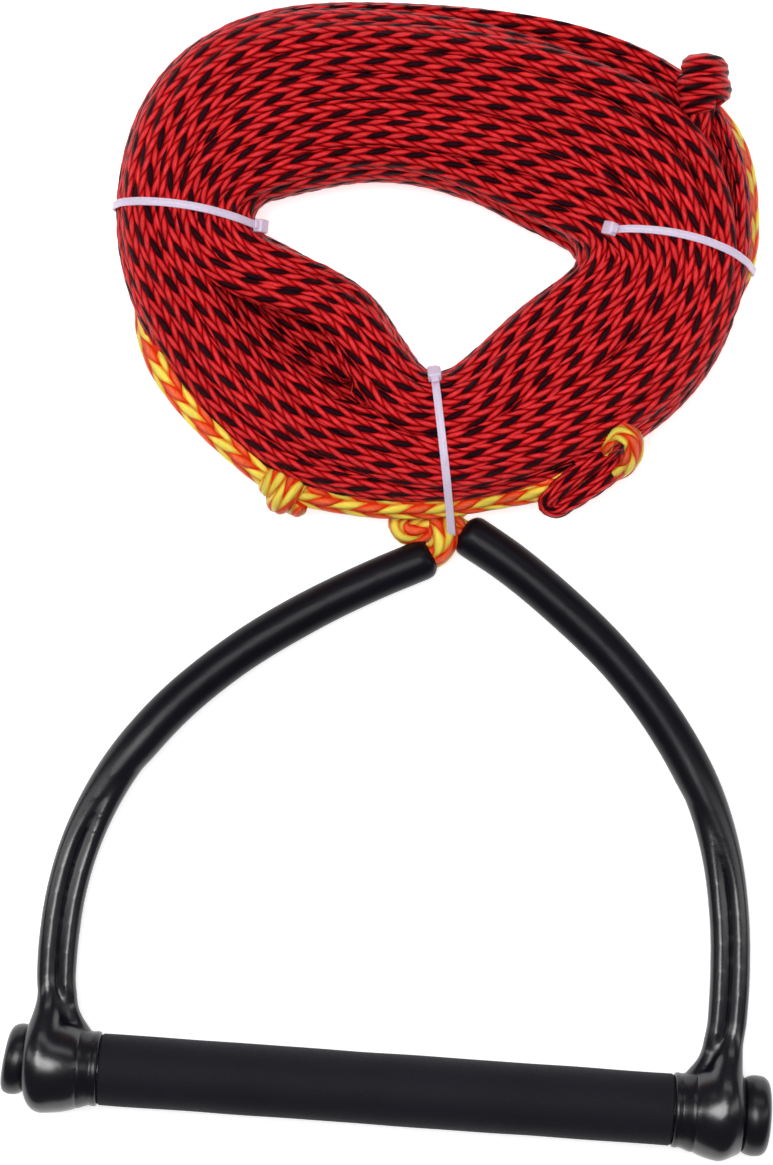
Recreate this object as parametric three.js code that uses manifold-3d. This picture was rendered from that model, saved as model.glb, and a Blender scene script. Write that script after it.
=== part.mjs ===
// Water-ski tow rope handle, laid flat beside its coiled tow line.
// Millimetres, +Z up. The bar lies along X, the two arms run towards +Y and the coil lies beyond them.
// The origin is under the middle of the handle (bar and arms), on the surface that it lies on.
import * as THREE from "three";
import { mergeVertices } from "three/addons/utils/BufferGeometryUtils.js";
import Module from "manifold-3d";

const wasm = await Module();
wasm.setup();

// ---- driving dimensions -------------------------------------------------------------------------
const GAP = 0.3; // clearance kept between touching pieces

const TUBE_R = 12.7; // 1 inch aluminium bar
const TUBE_WALL = 1.6;
const TUBE_HALF = 160.9; // half the bar's length
const GRIP_R = 16; // foam sleeve
const GRIP_HALF = 129;
const COLLAR_R = 17.1; // rubber ring that closes the grip's end
const COLLAR_END = 137; // where the collar meets the dipped boot, measured from the bar's middle
const BALL_R = 21.6; // dipped boot over the rope eye
const BALL_MID = 148.5; // where the ball is thickest
const FLANGE_R = 17.4; // end plug
const FLANGE_IN = 161.2;
const BAR_END = 172.8; // half the handle's overall width
const FLANGE_FACE_R = 12; // flat disc at each end of the bar
const SHANK_R = TUBE_R - TUBE_WALL - GAP;
const SHANK_END = 143;

const ROPE_R = 5.5; // 3/8 inch hollow-braid rope, as it lies
const EYE_HALF_WIDTH = 6.5; // the rope flattens where it wraps the bar
const EYE_HALF_THICK = 3.6;
const EYE_SIDES = 8;
const BORE_R = TUBE_R + GAP;
const EYE_MID_R = BORE_R + EYE_HALF_THICK;

const LOBE_R = 5.6; // each of the two dipped strands in a lower leg
const LOBE_OFFSET = 3.3;
const SKIN = 1.2; // vinyl skin over the strands
const SLEEVE_R = 9.3; // vinyl tube over the spliced upper arm
const SLEEVE_BORE_R = 7.6;
const NECK_Y = 30; // flex line of the arms, measured from the bar's axis
const KNUCKLE_R = 6.2; // round end of the neck that the arm's cupped end turns on
const SPLIT = 0.33; // share of an arm's length that is two strands wide
const MOUTH_R = 5.2; // hole in a sleeve's rounded tip
const NOSE = 5; // length of the rounded tip
const HORN_TRIM = 4.2; // the cupped end's thin horns are cut back to this far past the flex line
const WIDE = 40; // longer than any arm is wide, for tools that cut right across
const ROPE_SHIFT = 1.6; // the rope in the neck stands this far inboard, clear of the ball's shoulder
const TAIL_R = 4; // rope where it leaves the tip
const TAIL_OUT = 1; // how far it stands out before it meets the knot

const BAR_Y = -119.26; // the bar's axis in the part's frame
const BAR_Z = BALL_R;
const ARM_DROP = 3.1; // degrees that the arms slope down to the surface
const SWING_Y = 257; // hinge line of the coil, measured from the bar's axis
const COIL_BOTTOM = 1.6;
const COIL_TOP = 46.5;
const COIL_ROUND = 13; // height of the rounding of the coil's cross-section
const COIL_SHOULDER = 11; // how far that rounding comes in
const BOTTOM_ROPE_Z = 24; // height of the yellow and red rope along the coil's edge
const TIE_WIDTH = 3.6;
const TIE_THICK = 1.2;
const TIE_HEAD = 5.2; // side of its square head
const TIE_CORNER = 13; // the band's bend round the coil's shoulders
const TIE_TOP = COIL_TOP + 1.4;
const TIE_BOTTOM = 0.15;

// Centre lines of the arms, from the flex line to the tip, measured from the bar's middle.
const ARM_ROUTES = {
  left: [[-151.4, 30], [-151.8, 56], [-150.4, 76], [-144.6, 103], [-132, 132], [-112.4, 160],
    [-85, 187], [-50.3, 212], [-22, 228.3], [5.3, 242]],
  right: [[151, 30], [151.2, 60], [149.4, 86], [144.4, 113], [133, 143.5], [115.6, 171.4],
    [90.7, 200], [62, 224.4], [40, 240.2], [15.7, 254.3]],
};

const NECK_X = ARM_ROUTES.right[0][0];
const NECK_ROPE_END = NECK_Y - 4; // the rope in the neck stops short of the flex line
const FLARE = { top: 7.4, foot: 10.4, height: 9, middle: 19.5 };

// Outer and inner edge of the coil as it lies, going round it.
const COIL_OUTER = [[-150, 386], [-150.5, 418], [-138, 450], [-110.5, 478], [-68, 487], [-12, 491],
  [47, 488.5], [94, 476], [124, 455], [136, 418], [137, 374], [121, 329], [93.5, 299], [59, 278.5],
  [20, 266], [-14, 263], [-58, 266], [-87, 279], [-111, 300], [-131, 327], [-145, 357]];
const COIL_INNER = [[-92, 385], [-66.5, 399], [-29, 408.5], [8.5, 403], [36.5, 389.5], [68, 383],
  [34, 354], [8.5, 326], [-10.5, 326.5], [-32, 359.5]];

// The yellow and red rope along the coil's near edge, from where it leaves the coil to its eye.
const BOTTOM_ROPE = [[-132.5, 331], [-124.5, 315.5], [-112, 299], [-97.5, 285], [-81, 273.5]];
const BOTTOM_ROPE_RIGHT = [[-49, 263.2], [-28, 261.4], [-4, 261.6], [22, 266.5], [45, 272.5], [60, 278.5]];
const KNOT_AT = [-65, 264.5];
const EYE_AT = [72, 286];
const EYE_TURN = -0.2;
const EYE_LINK_AT = [87, 296];
const EYE_LINK_TURN = 0.9;
const TOW_KNOT_AT = [110, 462];
const BRIDLE_KNOT_AT = [5, 256];
const BRIDLE_KNOT_Z = 8.6;

// Cable ties, each from its head on the coil's inner edge to its outer edge.
const TIES = {
  left: { inner: [-85.5, 383], outer: [-149, 386.5] },
  right: { inner: [70, 392.5], outer: [139.5, 379] },
  bottom: { inner: [2, 325], outer: [10.6, 252.6] },
};

const COLOURS = {
  aluminium: { color: 0xb9bcc1, roughness: 0.35, metalness: 1 },
  foam: { color: 0x2c2b33, roughness: 0.9, metalness: 0 },
  vinyl: { color: 0x14131a, roughness: 0.25, metalness: 0 },
  rubber: { color: 0x17161d, roughness: 0.4, metalness: 0 },
  plastic: { color: 0x1a1920, roughness: 0.4, metalness: 0 },
  redBlackRope: { color: 0xc4141c, roughness: 0.6, metalness: 0 },
  yellowRedRope: { color: 0xf0a030, roughness: 0.6, metalness: 0 },
  nylon: { color: 0xe8dff0, roughness: 0.45, metalness: 0 },
};

// ---- solids -------------------------------------------------------------------------------------
const placed = (geometry, matrix) => geometry.clone().applyMatrix4(matrix);

function solid(geometry) {
  const plain = geometry.clone();
  plain.deleteAttribute("normal");
  plain.deleteAttribute("uv");
  const merged = mergeVertices(plain, 1e-4);
  const vertProperties = new Float32Array(merged.attributes.position.array);
  const triVerts = new Uint32Array(merged.index.array);
  return new wasm.Manifold(new wasm.Mesh({ numProp: 3, vertProperties, triVerts }));
}

function geometryOf(manifold) {
  const made = manifold.getMesh();
  const geometry = new THREE.BufferGeometry();
  geometry.setAttribute("position", new THREE.BufferAttribute(new Float32Array(made.vertProperties), 3));
  geometry.setIndex(new THREE.BufferAttribute(new Uint32Array(made.triVerts), 1));
  return geometry;
}

const cut = (geometry, ...tools) =>
  geometryOf(tools.reduce((rest, tool) => rest.subtract(solid(tool)), solid(geometry)));

const join = (...pieces) => geometryOf(pieces.map(solid).reduce((all, piece) => all.add(piece)));

const keepInside = (geometry, region) => geometryOf(solid(geometry).intersect(solid(region)));

// Solid of revolution about the bar's axis. The profile is a list of [distance along X, radius].
function turned(profile, sides = 24) {
  const points = profile.map(([along, radius]) => new THREE.Vector2(radius, along));
  return new THREE.LatheGeometry(points, sides).rotateZ(-Math.PI / 2);
}

function box(low, high) {
  const size = high.map((value, axis) => value - low[axis]);
  const middle = high.map((value, axis) => (value + low[axis]) / 2);
  return new THREE.BoxGeometry(...size).translate(...middle);
}

// Cylinder along X, centred at (x, y, z).
const crossPin = (radius, length, x, y, z) =>
  new THREE.CylinderGeometry(radius, radius, length, 24).rotateZ(Math.PI / 2).translate(x, y, z);

function ellipsoid(radii, centre, turn = 0) {
  return new THREE.SphereGeometry(1, 12, 8).scale(...radii).rotateZ(turn).translate(...centre);
}

// Two round strands side by side. They lie along the section's second axis.
function strandSection(radius, offset) {
  const meet = Math.acos(offset / radius);
  const shape = new THREE.Shape();
  shape.absarc(0, offset, radius, -Math.PI / 2 + meet, (3 * Math.PI) / 2 - meet, false);
  shape.absarc(0, -offset, radius, Math.PI / 2 + meet, (5 * Math.PI) / 2 - meet, false);
  return shape;
}

function roundSection(radius) {
  const shape = new THREE.Shape();
  shape.absarc(0, 0, radius, 0, 2 * Math.PI, false);
  return shape;
}

function withBore(outer, bore) {
  outer.holes.push(new THREE.Path(bore.getPoints(4).reverse()));
  return outer;
}

const curveThrough = (points) =>
  new THREE.CatmullRomCurve3(points.map(([x, y, z = 0]) => new THREE.Vector3(x, y, z)), false, "centripetal");

// The stretch of a curve between two shares of its length.
class Stretch extends THREE.Curve {
  constructor(whole, from, to) {
    super();
    Object.assign(this, { whole, from, to });
  }

  getPoint(t) {
    return this.whole.getPointAt(THREE.MathUtils.lerp(this.from, this.to, t));
  }
}

const sweep = (section, curve, steps, curveSegments = 4) =>
  new THREE.ExtrudeGeometry(section, { steps, extrudePath: curve, curveSegments });

// ---- bar ----------------------------------------------------------------------------------------
const barTube = () => turned([
  [-TUBE_HALF, TUBE_R], [TUBE_HALF, TUBE_R],
  [TUBE_HALF, TUBE_R - TUBE_WALL], [-TUBE_HALF, TUBE_R - TUBE_WALL], [-TUBE_HALF, TUBE_R],
]);

const gripSleeve = () => turned([
  [-GRIP_HALF, GRIP_R - 0.6], [0.6 - GRIP_HALF, GRIP_R], [GRIP_HALF - 0.6, GRIP_R],
  [GRIP_HALF, GRIP_R - 0.6], [GRIP_HALF, BORE_R], [-GRIP_HALF, BORE_R], [-GRIP_HALF, GRIP_R - 0.6],
]);

const endPlug = () => turned([
  [SHANK_END, 0], [SHANK_END, SHANK_R - 1], [SHANK_END + 1, SHANK_R], [FLANGE_IN, SHANK_R],
  [FLANGE_IN, FLANGE_R - 1.3], [FLANGE_IN + 2, FLANGE_R - 0.2], [FLANGE_IN + 4.5, FLANGE_R],
  [BAR_END - 4, FLANGE_R - 0.6], [BAR_END - 1.5, FLANGE_R - 2.4], [BAR_END, FLANGE_FACE_R], [BAR_END, 0],
]);

const collar = () => turned([
  [GRIP_HALF + GAP, COLLAR_R - 0.6], [GRIP_HALF + 1, COLLAR_R], [GRIP_HALF + 2.6, COLLAR_R],
  [GRIP_HALF + 4, COLLAR_R - 0.4], [COLLAR_END, COLLAR_R - 0.1], [COLLAR_END, BORE_R],
  [GRIP_HALF + GAP, BORE_R], [GRIP_HALF + GAP, COLLAR_R - 0.6],
]);

// Ring of rope around the bar, in the ball of the boot.
function eyeRing(clearance) {
  const section = [];
  for (let step = 0; step <= EYE_SIDES; step += 1) {
    const angle = (step / EYE_SIDES) * 2 * Math.PI;
    section.push([
      BALL_MID - (EYE_HALF_WIDTH + clearance) * Math.cos(angle),
      EYE_MID_R + (EYE_HALF_THICK + clearance) * Math.sin(angle),
    ]);
  }
  return turned(section);
}

// Straight stretch of two strands along Y, from y = from to y = to.
function strandPair(radius, offset, from, to) {
  const line = new THREE.LineCurve3(new THREE.Vector3(0, from, 0), new THREE.Vector3(0, to, 0));
  const pair = sweep(strandSection(radius, offset), line, 1);
  pair.computeBoundingBox();
  const { max } = pair.boundingBox;
  return max.x > max.z ? pair : pair.rotateY(Math.PI / 2);
}

// Dipped boot on the right: a ball over the rope eye, and a neck that ends in a round knuckle.
function boot() {
  const ball = turned([
    [COLLAR_END + GAP, 0], [COLLAR_END + GAP, 17.2], [140, 18.9], [143.6, 20.8], [BALL_MID, BALL_R],
    [152.6, 21.1], [156.2, 19.3], [159, 17], [FLANGE_IN - GAP, 16.2], [FLANGE_IN - GAP, 0],
  ]);
  const roundedNeck = neckStrands();
  const rope = strandPair(LOBE_R - SKIN, LOBE_OFFSET, 0, NECK_ROPE_END + GAP);
  const flangeSide = box([FLANGE_IN - GAP, -WIDE, -WIDE], [BAR_END, WIDE, WIDE]);
  const whole = join(ball, neckFlare(), roundedNeck);
  const bore = crossPin(BORE_R, 60, BALL_MID, 0, 0);
  return cut(whole, bore, eyeRing(GAP), rope.translate(NECK_X - ROPE_SHIFT, 0, 0), flangeSide);
}

// The two strands of the neck, up to the round knuckle.
function neckStrands() {
  const strands = strandPair(LOBE_R, LOBE_OFFSET, 12, NECK_Y + KNUCKLE_R).translate(NECK_X, 0, 0);
  const straight = box([NECK_X - WIDE / 2, 0, -WIDE / 2], [NECK_X + WIDE / 2, NECK_Y, WIDE / 2]);
  return keepInside(strands, join(straight, crossPin(KNUCKLE_R, WIDE, NECK_X, NECK_Y, 0)));
}

// The thicker skin where the neck's strands spread into the ball.
function neckFlare() {
  const { top, foot, height, middle } = FLARE;
  return new THREE.CylinderGeometry(top, foot, height, 20).scale(1.12, 1, 0.92).translate(NECK_X, middle, 0);
}

// The rope inside the boot: round the bar and up the neck.
function eyeRope() {
  const pair = strandPair(LOBE_R - SKIN - GAP, LOBE_OFFSET - 0.4, EYE_MID_R, NECK_ROPE_END);
  return join(eyeRing(0), pair.translate(NECK_X - ROPE_SHIFT, 0, 0));
}

// ---- arms ---------------------------------------------------------------------------------------
// Everything on the bridle is made in the flat, and the group that holds it slopes to the surface.
function armCurves(side) {
  const whole = curveThrough(ARM_ROUTES[side]);
  const length = whole.getLength();
  return {
    whole,
    length,
    leg: new Stretch(whole, 0, SPLIT - GAP / length),
    upper: new Stretch(whole, SPLIT, 1 - NOSE / length),
    core: new Stretch(whole, 0.022, 1 - NOSE / length),
  };
}

// Everything across a neck that is nearer the bar than y = to.
const neckBox = (start, to) =>
  box([start.x - WIDE / 2, 0, -WIDE / 2], [start.x + WIDE / 2, to, WIDE / 2]);

// Dipped lower leg, two strands wide, with a cupped end that turns on the boot's knuckle.
function legCover(side) {
  const { whole, leg } = armCurves(side);
  const outer = strandSection(LOBE_R, LOBE_OFFSET);
  const bore = strandSection(LOBE_R - SKIN, LOBE_OFFSET);
  const cover = sweep(withBore(outer, bore), leg, 12);
  const start = whole.getPointAt(0);
  const cup = crossPin(KNUCKLE_R + GAP, WIDE, start.x, NECK_Y, 0);
  return cut(cover, cup, neckBox(start, NECK_Y + HORN_TRIM));
}

// Turns a shape made along +Z, at the origin, to a point and direction of the arm.
function aimed(geometry, point, direction) {
  const turn = new THREE.Quaternion().setFromUnitVectors(new THREE.Vector3(0, 0, 1), direction);
  return placed(geometry, new THREE.Matrix4().compose(point, turn, new THREE.Vector3(1, 1, 1)));
}

function sleeveNose() {
  const profile = [[0, SLEEVE_BORE_R], [0, SLEEVE_R], [0.5, SLEEVE_R], [2.2, SLEEVE_R - 0.6],
    [4, SLEEVE_R - 2.3], [NOSE, MOUTH_R + 0.4], [NOSE, MOUTH_R], [1.5, MOUTH_R], [0, SLEEVE_BORE_R]];
  const points = profile.map(([along, radius]) => new THREE.Vector2(radius, along));
  return new THREE.LatheGeometry(points, 20).rotateX(Math.PI / 2);
}

// Vinyl tube over the spliced upper arm, closed down to a round mouth at its tip.
function armSleeve(side) {
  const { upper } = armCurves(side);
  const section = withBore(roundSection(SLEEVE_R), roundSection(SLEEVE_BORE_R));
  const tube = sweep(section, upper, 15);
  const end = upper.getPointAt(1);
  const direction = upper.getTangentAt(1);
  const overlap = end.clone().addScaledVector(direction, -0.05);
  return join(tube, aimed(sleeveNose(), overlap, direction));
}

// Rope core of an arm, from just past the flex line out through the sleeve's mouth.
function legRope(side) {
  const { whole, core } = armCurves(side);
  const strands = sweep(strandSection(LOBE_R - SKIN - 2 * GAP, LOBE_OFFSET - 0.4), core, 24, 3);
  const end = core.getPointAt(1);
  const direction = core.getTangentAt(1);
  const tailLength = NOSE + TAIL_OUT + 2;
  const tail = new THREE.CylinderGeometry(TAIL_R, TAIL_R, tailLength, 12)
    .rotateX(Math.PI / 2)
    .translate(0, 0, tailLength / 2 - 2);
  const start = whole.getPointAt(0);
  const rope = join(strands, aimed(tail, end, direction));
  return cut(rope, neckBox(start, NECK_Y + KNUCKLE_R + 1));
}

// Room around an arm's tip, its rope end included, that pieces of the coil stay out of.
function tipRoom(side) {
  const { upper } = armCurves(side);
  const back = 24;
  const reach = back + NOSE + TAIL_OUT + GAP;
  const room = new THREE.CylinderGeometry(SLEEVE_R + 1, SLEEVE_R + 1, reach, 16)
    .rotateX(Math.PI / 2)
    .translate(0, 0, reach / 2 - back);
  return aimed(room, upper.getPointAt(1), upper.getTangentAt(1)).applyMatrix4(bridleSlope);
}

// ---- coil ---------------------------------------------------------------------------------------
function closedOutline(points) {
  const curve = new THREE.CatmullRomCurve3(points.map(([x, y]) => new THREE.Vector3(x, y, 0)), true);
  return curve.getPoints(points.length * 2).slice(0, -1).map(({ x, y }) => new THREE.Vector2(x, y));
}

// An upright slab of an outline whose top and bottom edges are rounded in (inset > 0) or flared out.
function roundedSlab(outline, inset, grow) {
  return new THREE.ExtrudeGeometry(new THREE.Shape(closedOutline(outline)), {
    depth: COIL_TOP - COIL_BOTTOM - 2 * COIL_ROUND,
    bevelThickness: COIL_ROUND + grow,
    bevelSize: inset,
    bevelOffset: -inset,
    bevelSegments: 2,
    curveSegments: 1,
  }).translate(0, 0, COIL_BOTTOM + COIL_ROUND);
}

const coilSolid = () =>
  cut(roundedSlab(COIL_OUTER, COIL_SHOULDER, 0), roundedSlab(COIL_INNER, -COIL_SHOULDER, 1));

// A cable tie drawn round the coil: a flat band, upright, with its square head at the inner top edge.
function tieBand({ inner, outer }, clearance) {
  const across = new THREE.Vector2(outer[0] - inner[0], outer[1] - inner[1]);
  const span = across.length();
  const outline = (inset) => {
    const shape = new THREE.Shape();
    const [low, high] = [TIE_BOTTOM + inset, TIE_TOP - inset];
    const [near, far] = [inset, span - inset];
    const radius = TIE_CORNER - inset;
    shape.absarc(far - radius, high - radius, radius, 0, Math.PI / 2, false);
    shape.absarc(near + radius, high - radius, radius, Math.PI / 2, Math.PI, false);
    shape.absarc(near + radius, low + radius, radius, Math.PI, 1.5 * Math.PI, false);
    shape.absarc(far - radius, low + radius, radius, 1.5 * Math.PI, 2 * Math.PI, false);
    return shape;
  };
  const section = withBore(outline(-clearance), outline(TIE_THICK + clearance));
  const depth = TIE_WIDTH + 2 * clearance;
  const band = new THREE.ExtrudeGeometry(section, { depth, bevelEnabled: false, curveSegments: 2 });
  const half = TIE_HEAD / 2 + clearance;
  const [headAt, headUp] = [TIE_CORNER - 9, TIE_TOP - 4];
  const head = box([headAt, headUp - half, -half], [headAt + TIE_HEAD, headUp + half, half]);
  return join(band.translate(0, 0, -depth / 2), head)
    .rotateX(Math.PI / 2)
    .rotateZ(across.angle())
    .translate(inner[0], inner[1], 0);
}

const bottomCurve = (points) => curveThrough(points.map(([x, y]) => [x, y, BOTTOM_ROPE_Z]));

const ropeTube = (points, clearance) =>
  sweep(roundSection(ROPE_R + clearance), bottomCurve(points), 12, 5);

// A knot as two lumps, each [half sizes, offset from the knot's place, turn].
function knot([x, y], z, lumps, clearance) {
  return join(...lumps.map(([radii, [dx, dy, dz], turn]) => {
    const grown = radii.map((radius) => radius + clearance);
    return ellipsoid(grown, [x + dx, y + dy, z + dz], turn);
  }));
}

const BOTTOM_KNOT_LUMPS = [[[13.6, 9, 10], [0, 0, 0], -0.3], [[7.5, 11.5, 9], [1, -1, 1], 0.3]];
const BRIDLE_KNOT_LUMPS = [[[10, 5.5, 6.5], [-5, -1.5, 0], 0.15], [[6, 6.8, 6.5], [3.4, -2.5, 1], 0.2]];
const TOW_KNOT_LUMPS = [[[13.5, 10, 9], [0, 0, 0], -0.5]];

const bottomKnot = (clearance) => knot(KNOT_AT, BOTTOM_ROPE_Z, BOTTOM_KNOT_LUMPS, clearance);

const towKnot = (clearance) => knot(TOW_KNOT_AT, COIL_TOP - 12, TOW_KNOT_LUMPS, clearance);

// Knot that joins the coil's yellow and red end to the two ropes that leave the arms' tips.
const bridleKnot = (clearance) => knot(BRIDLE_KNOT_AT, BRIDLE_KNOT_Z, BRIDLE_KNOT_LUMPS, clearance);

// Spliced loop at the end of a rope, lying nearly upright on the coil's edge.
function ropeEye(centre, turn, clearance) {
  const ring = new THREE.TorusGeometry(9.5, ROPE_R - 1 + clearance, 8, 14).scale(1.15, 0.8, 1);
  return ring.rotateX(Math.PI / 3).rotateZ(turn).translate(centre[0], centre[1], BOTTOM_ROPE_Z + 4);
}

// ---- assembly -----------------------------------------------------------------------------------
const handle = new THREE.Group();
handle.position.set(0, BAR_Y, 0);

const bar = new THREE.Group();
bar.position.z = BAR_Z;
handle.add(bar);

// The bridle turns about the necks' flex line, which fixes where its slope begins.
const bridleSlope = new THREE.Matrix4()
  .makeTranslation(0, NECK_Y, BAR_Z)
  .multiply(new THREE.Matrix4().makeRotationX(THREE.MathUtils.degToRad(-ARM_DROP)))
  .multiply(new THREE.Matrix4().makeTranslation(0, -NECK_Y, 0));

const coil = new THREE.Group();
handle.add(coil);

function add(group, name, geometry, look) {
  const mesh = new THREE.Mesh(geometry, new THREE.MeshStandardMaterial(COLOURS[look]));
  mesh.name = name;
  group.add(mesh);
}

add(bar, "bar_tube", barTube(), "aluminium");
add(bar, "grip_sleeve", gripSleeve(), "foam");
const barEnds = { right: 0, left: Math.PI };
for (const [side, turn] of Object.entries(barEnds)) {
  add(bar, `end_plug_${side}`, endPlug().rotateY(turn), "plastic");
  add(bar, `collar_${side}`, collar().rotateY(turn), "rubber");
  add(bar, `boot_${side}`, boot().rotateY(turn), "vinyl");
  add(bar, `eye_rope_${side}`, eyeRope().rotateY(turn), "yellowRedRope");
}

for (const side of ["left", "right"]) {
  add(handle, `leg_cover_${side}`, legCover(side).applyMatrix4(bridleSlope), "vinyl");
  add(handle, `arm_sleeve_${side}`, armSleeve(side).applyMatrix4(bridleSlope), "vinyl");
  add(handle, `leg_rope_${side}`, legRope(side).applyMatrix4(bridleSlope), "yellowRedRope");
}

const tieCuts = Object.values(TIES).map((tie) => tieBand(tie, GAP));
for (const [place, tie] of Object.entries(TIES)) {
  add(coil, `cable_tie_${place}`, tieBand(tie, 0), "nylon");
}

const bottomTieCut = tieCuts[2];
const mainEye = (clearance) => ropeEye(EYE_AT, EYE_TURN, clearance);
const handleEye = (clearance) => ropeEye(EYE_LINK_AT, EYE_LINK_TURN, clearance);
const edgeRope = (clearance) => ropeTube(BOTTOM_ROPE, clearance);
const edgeRopeEnd = (clearance) => ropeTube(BOTTOM_ROPE_RIGHT, clearance);
const lyingOnCoil = [edgeRope, edgeRopeEnd, bottomKnot, mainEye, handleEye, towKnot, bridleKnot];
const hank = cut(coilSolid(), ...tieCuts, ...lyingOnCoil.map((piece) => piece(GAP)));

add(coil, "mainline_hank", hank, "redBlackRope");
add(coil, "handle_section_rope", cut(edgeRope(0), bottomKnot(GAP)), "yellowRedRope");
add(coil, "handle_section_knot", bottomKnot(0), "yellowRedRope");
const ropeEnd = cut(edgeRopeEnd(0), bottomKnot(GAP), mainEye(GAP), bottomTieCut);
add(coil, "handle_section_end", ropeEnd, "yellowRedRope");
add(coil, "mainline_eye", mainEye(0), "redBlackRope");
add(coil, "handle_section_eye", cut(handleEye(0), mainEye(GAP)), "yellowRedRope");
add(coil, "tow_end_knot", towKnot(0), "redBlackRope");
const bridleKnotCuts = [bottomTieCut, tipRoom("left"), tipRoom("right")];
add(coil, "bridle_knot", cut(bridleKnot(0), ...bridleKnotCuts), "yellowRedRope");

export default handle;
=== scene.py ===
import math

import bmesh
import bpy
import numpy as np
from mathutils import Matrix, Vector


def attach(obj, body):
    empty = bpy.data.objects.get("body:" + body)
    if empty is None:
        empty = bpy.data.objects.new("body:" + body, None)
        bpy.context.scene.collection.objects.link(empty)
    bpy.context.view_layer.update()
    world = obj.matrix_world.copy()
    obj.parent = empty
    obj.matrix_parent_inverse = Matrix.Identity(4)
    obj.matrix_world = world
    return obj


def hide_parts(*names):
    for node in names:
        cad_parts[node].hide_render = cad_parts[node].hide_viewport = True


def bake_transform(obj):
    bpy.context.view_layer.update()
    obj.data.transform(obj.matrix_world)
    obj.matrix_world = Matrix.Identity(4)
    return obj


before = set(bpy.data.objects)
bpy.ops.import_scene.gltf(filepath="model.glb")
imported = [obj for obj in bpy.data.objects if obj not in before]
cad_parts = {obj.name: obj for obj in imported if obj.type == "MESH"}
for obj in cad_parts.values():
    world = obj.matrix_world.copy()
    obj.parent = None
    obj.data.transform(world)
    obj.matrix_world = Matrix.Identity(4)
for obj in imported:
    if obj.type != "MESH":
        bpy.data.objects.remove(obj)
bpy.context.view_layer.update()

# Lengths are in millimetres in the row frame until a mesh is made. "From the bar" means that y is
# measured from the bar's axis.
MM = 0.001
BAR_Y = -119.26
BAR_Z = 21.6

# ---- camera -------------------------------------------------------------------------------------
PICTURE_TURN = math.radians(4.07)         # the photo shows the handle turned by this
CAMERA_PLACE = Vector((-15.9, 108.2, 1450.0))
TARGET = Vector((-15.9, 108.2, 22.0))
FRAME_HEIGHT = 524.0      # what the picture's height shows at the target
SENSOR = 36.0


def make_camera():
    back = (CAMERA_PLACE - TARGET).normalized()
    up = Vector((-math.sin(PICTURE_TURN), math.cos(PICTURE_TURN), 0))
    right = up.cross(back).normalized()
    up = back.cross(right)
    data = bpy.data.cameras.new("camera")
    data.sensor_width = SENSOR
    data.lens = SENSOR * (CAMERA_PLACE - TARGET).length / FRAME_HEIGHT
    data.clip_end = 100
    camera = bpy.data.objects.new("camera", data)
    turn = Matrix((right, up, back)).transposed().to_4x4()
    camera.matrix_world = Matrix.Translation(CAMERA_PLACE * MM) @ turn
    bpy.context.scene.collection.objects.link(camera)
    bpy.context.scene.camera = camera


make_camera()

# ---- coil: where the strands run ----------------------------------------------------------------
# Outer and inner edge of the coil, from the bar, going round it clockwise from above.
COIL_OUTER = [
    (-150, 386), (-150.5, 418), (-138, 450), (-110.5, 478), (-68, 487), (-12, 491), (47, 488.5),
    (96, 477.5), (129, 459), (138.5, 438), (139, 412), (137, 374), (121, 329), (93.5, 299), (59, 278.5),
    (20, 266), (-14, 263), (-58, 266), (-87, 279), (-111, 300), (-131, 327), (-145, 357)]
COIL_INNER = [
    (-100, 385.5), (-68, 399), (-29, 408.5), (8.5, 403), (36.5, 389.5), (68, 383), (34, 354), (8, 325),
    (-2, 319.5), (-12, 325), (-33, 358.5)]
COIL_LOW, COIL_HIGH = 1.6, 46.5           # bottom and top of the coil
COIL_MID = (COIL_LOW + COIL_HIGH) / 2
# The coil is cut at its three cable ties, in the order of the run: inner end, outer end.
CUTS = [((-98, 385), (-149, 386.5)), ((70, 392.5), (139.5, 379)), ((-1.5, 319.5), (11, 254))]
ARC_STATIONS = 28
STATIONS = len(CUTS) * ARC_STATIONS
TURNS = 38
STRAND_WIDTH, STRAND_THICK = 12.2, 5.7    # how close two strands lie, side by side and stacked
ROUNDNESS = 2.6           # power of the rounded section: 2 is an ellipse
EDGE_ROOM = 3.6           # from the coil's edge to the middle of a strand
SECTION_SPARE = 0.4       # how much less of it above and below
START_STATION, END_STATION = 22, 47       # where the main line's two ends lie


def closed_curve(points, steps):
    """Closed Catmull-Rom curve through points."""
    p = np.array(points, float)
    t = np.linspace(0, 1, steps, endpoint=False)[:, None]
    rows = []
    for i in range(len(p)):
        a, b, c, d = p[i - 1], p[i], p[(i + 1) % len(p)], p[(i + 2) % len(p)]
        cubic = (2 * a - 5 * b + 4 * c - d) * t**2 + (3 * b - a - 3 * c + d) * t**3
        rows.append(0.5 * (2 * b + (c - a) * t + cubic))
    return np.concatenate(rows)


def run_of(points):
    """Distance along a polyline at each of its points."""
    return np.concatenate([[0], np.cumsum(np.linalg.norm(np.diff(points, axis=0), axis=1))])


def resample(points, count):
    """count points equally spaced along a polyline, its two ends included."""
    p = np.asarray(points, float)
    run = run_of(p)
    at = np.linspace(0, run[-1], count)
    return np.stack([np.interp(at, run, p[:, k]) for k in range(p.shape[1])], axis=1)


def smoothed(path, rounds):
    """An open line with its inner points drawn towards their neighbours."""
    path = path.copy()
    for _ in range(rounds):
        path[1:-1] = (path[2:] + 2 * path[1:-1] + path[:-2]) / 4
    return path


def smoothed_ring(points, rounds):
    """A closed line with every point drawn towards its neighbours."""
    for _ in range(rounds):
        points = (np.roll(points, 1, 0) + 2 * points + np.roll(points, -1, 0)) / 4
    return points


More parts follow.
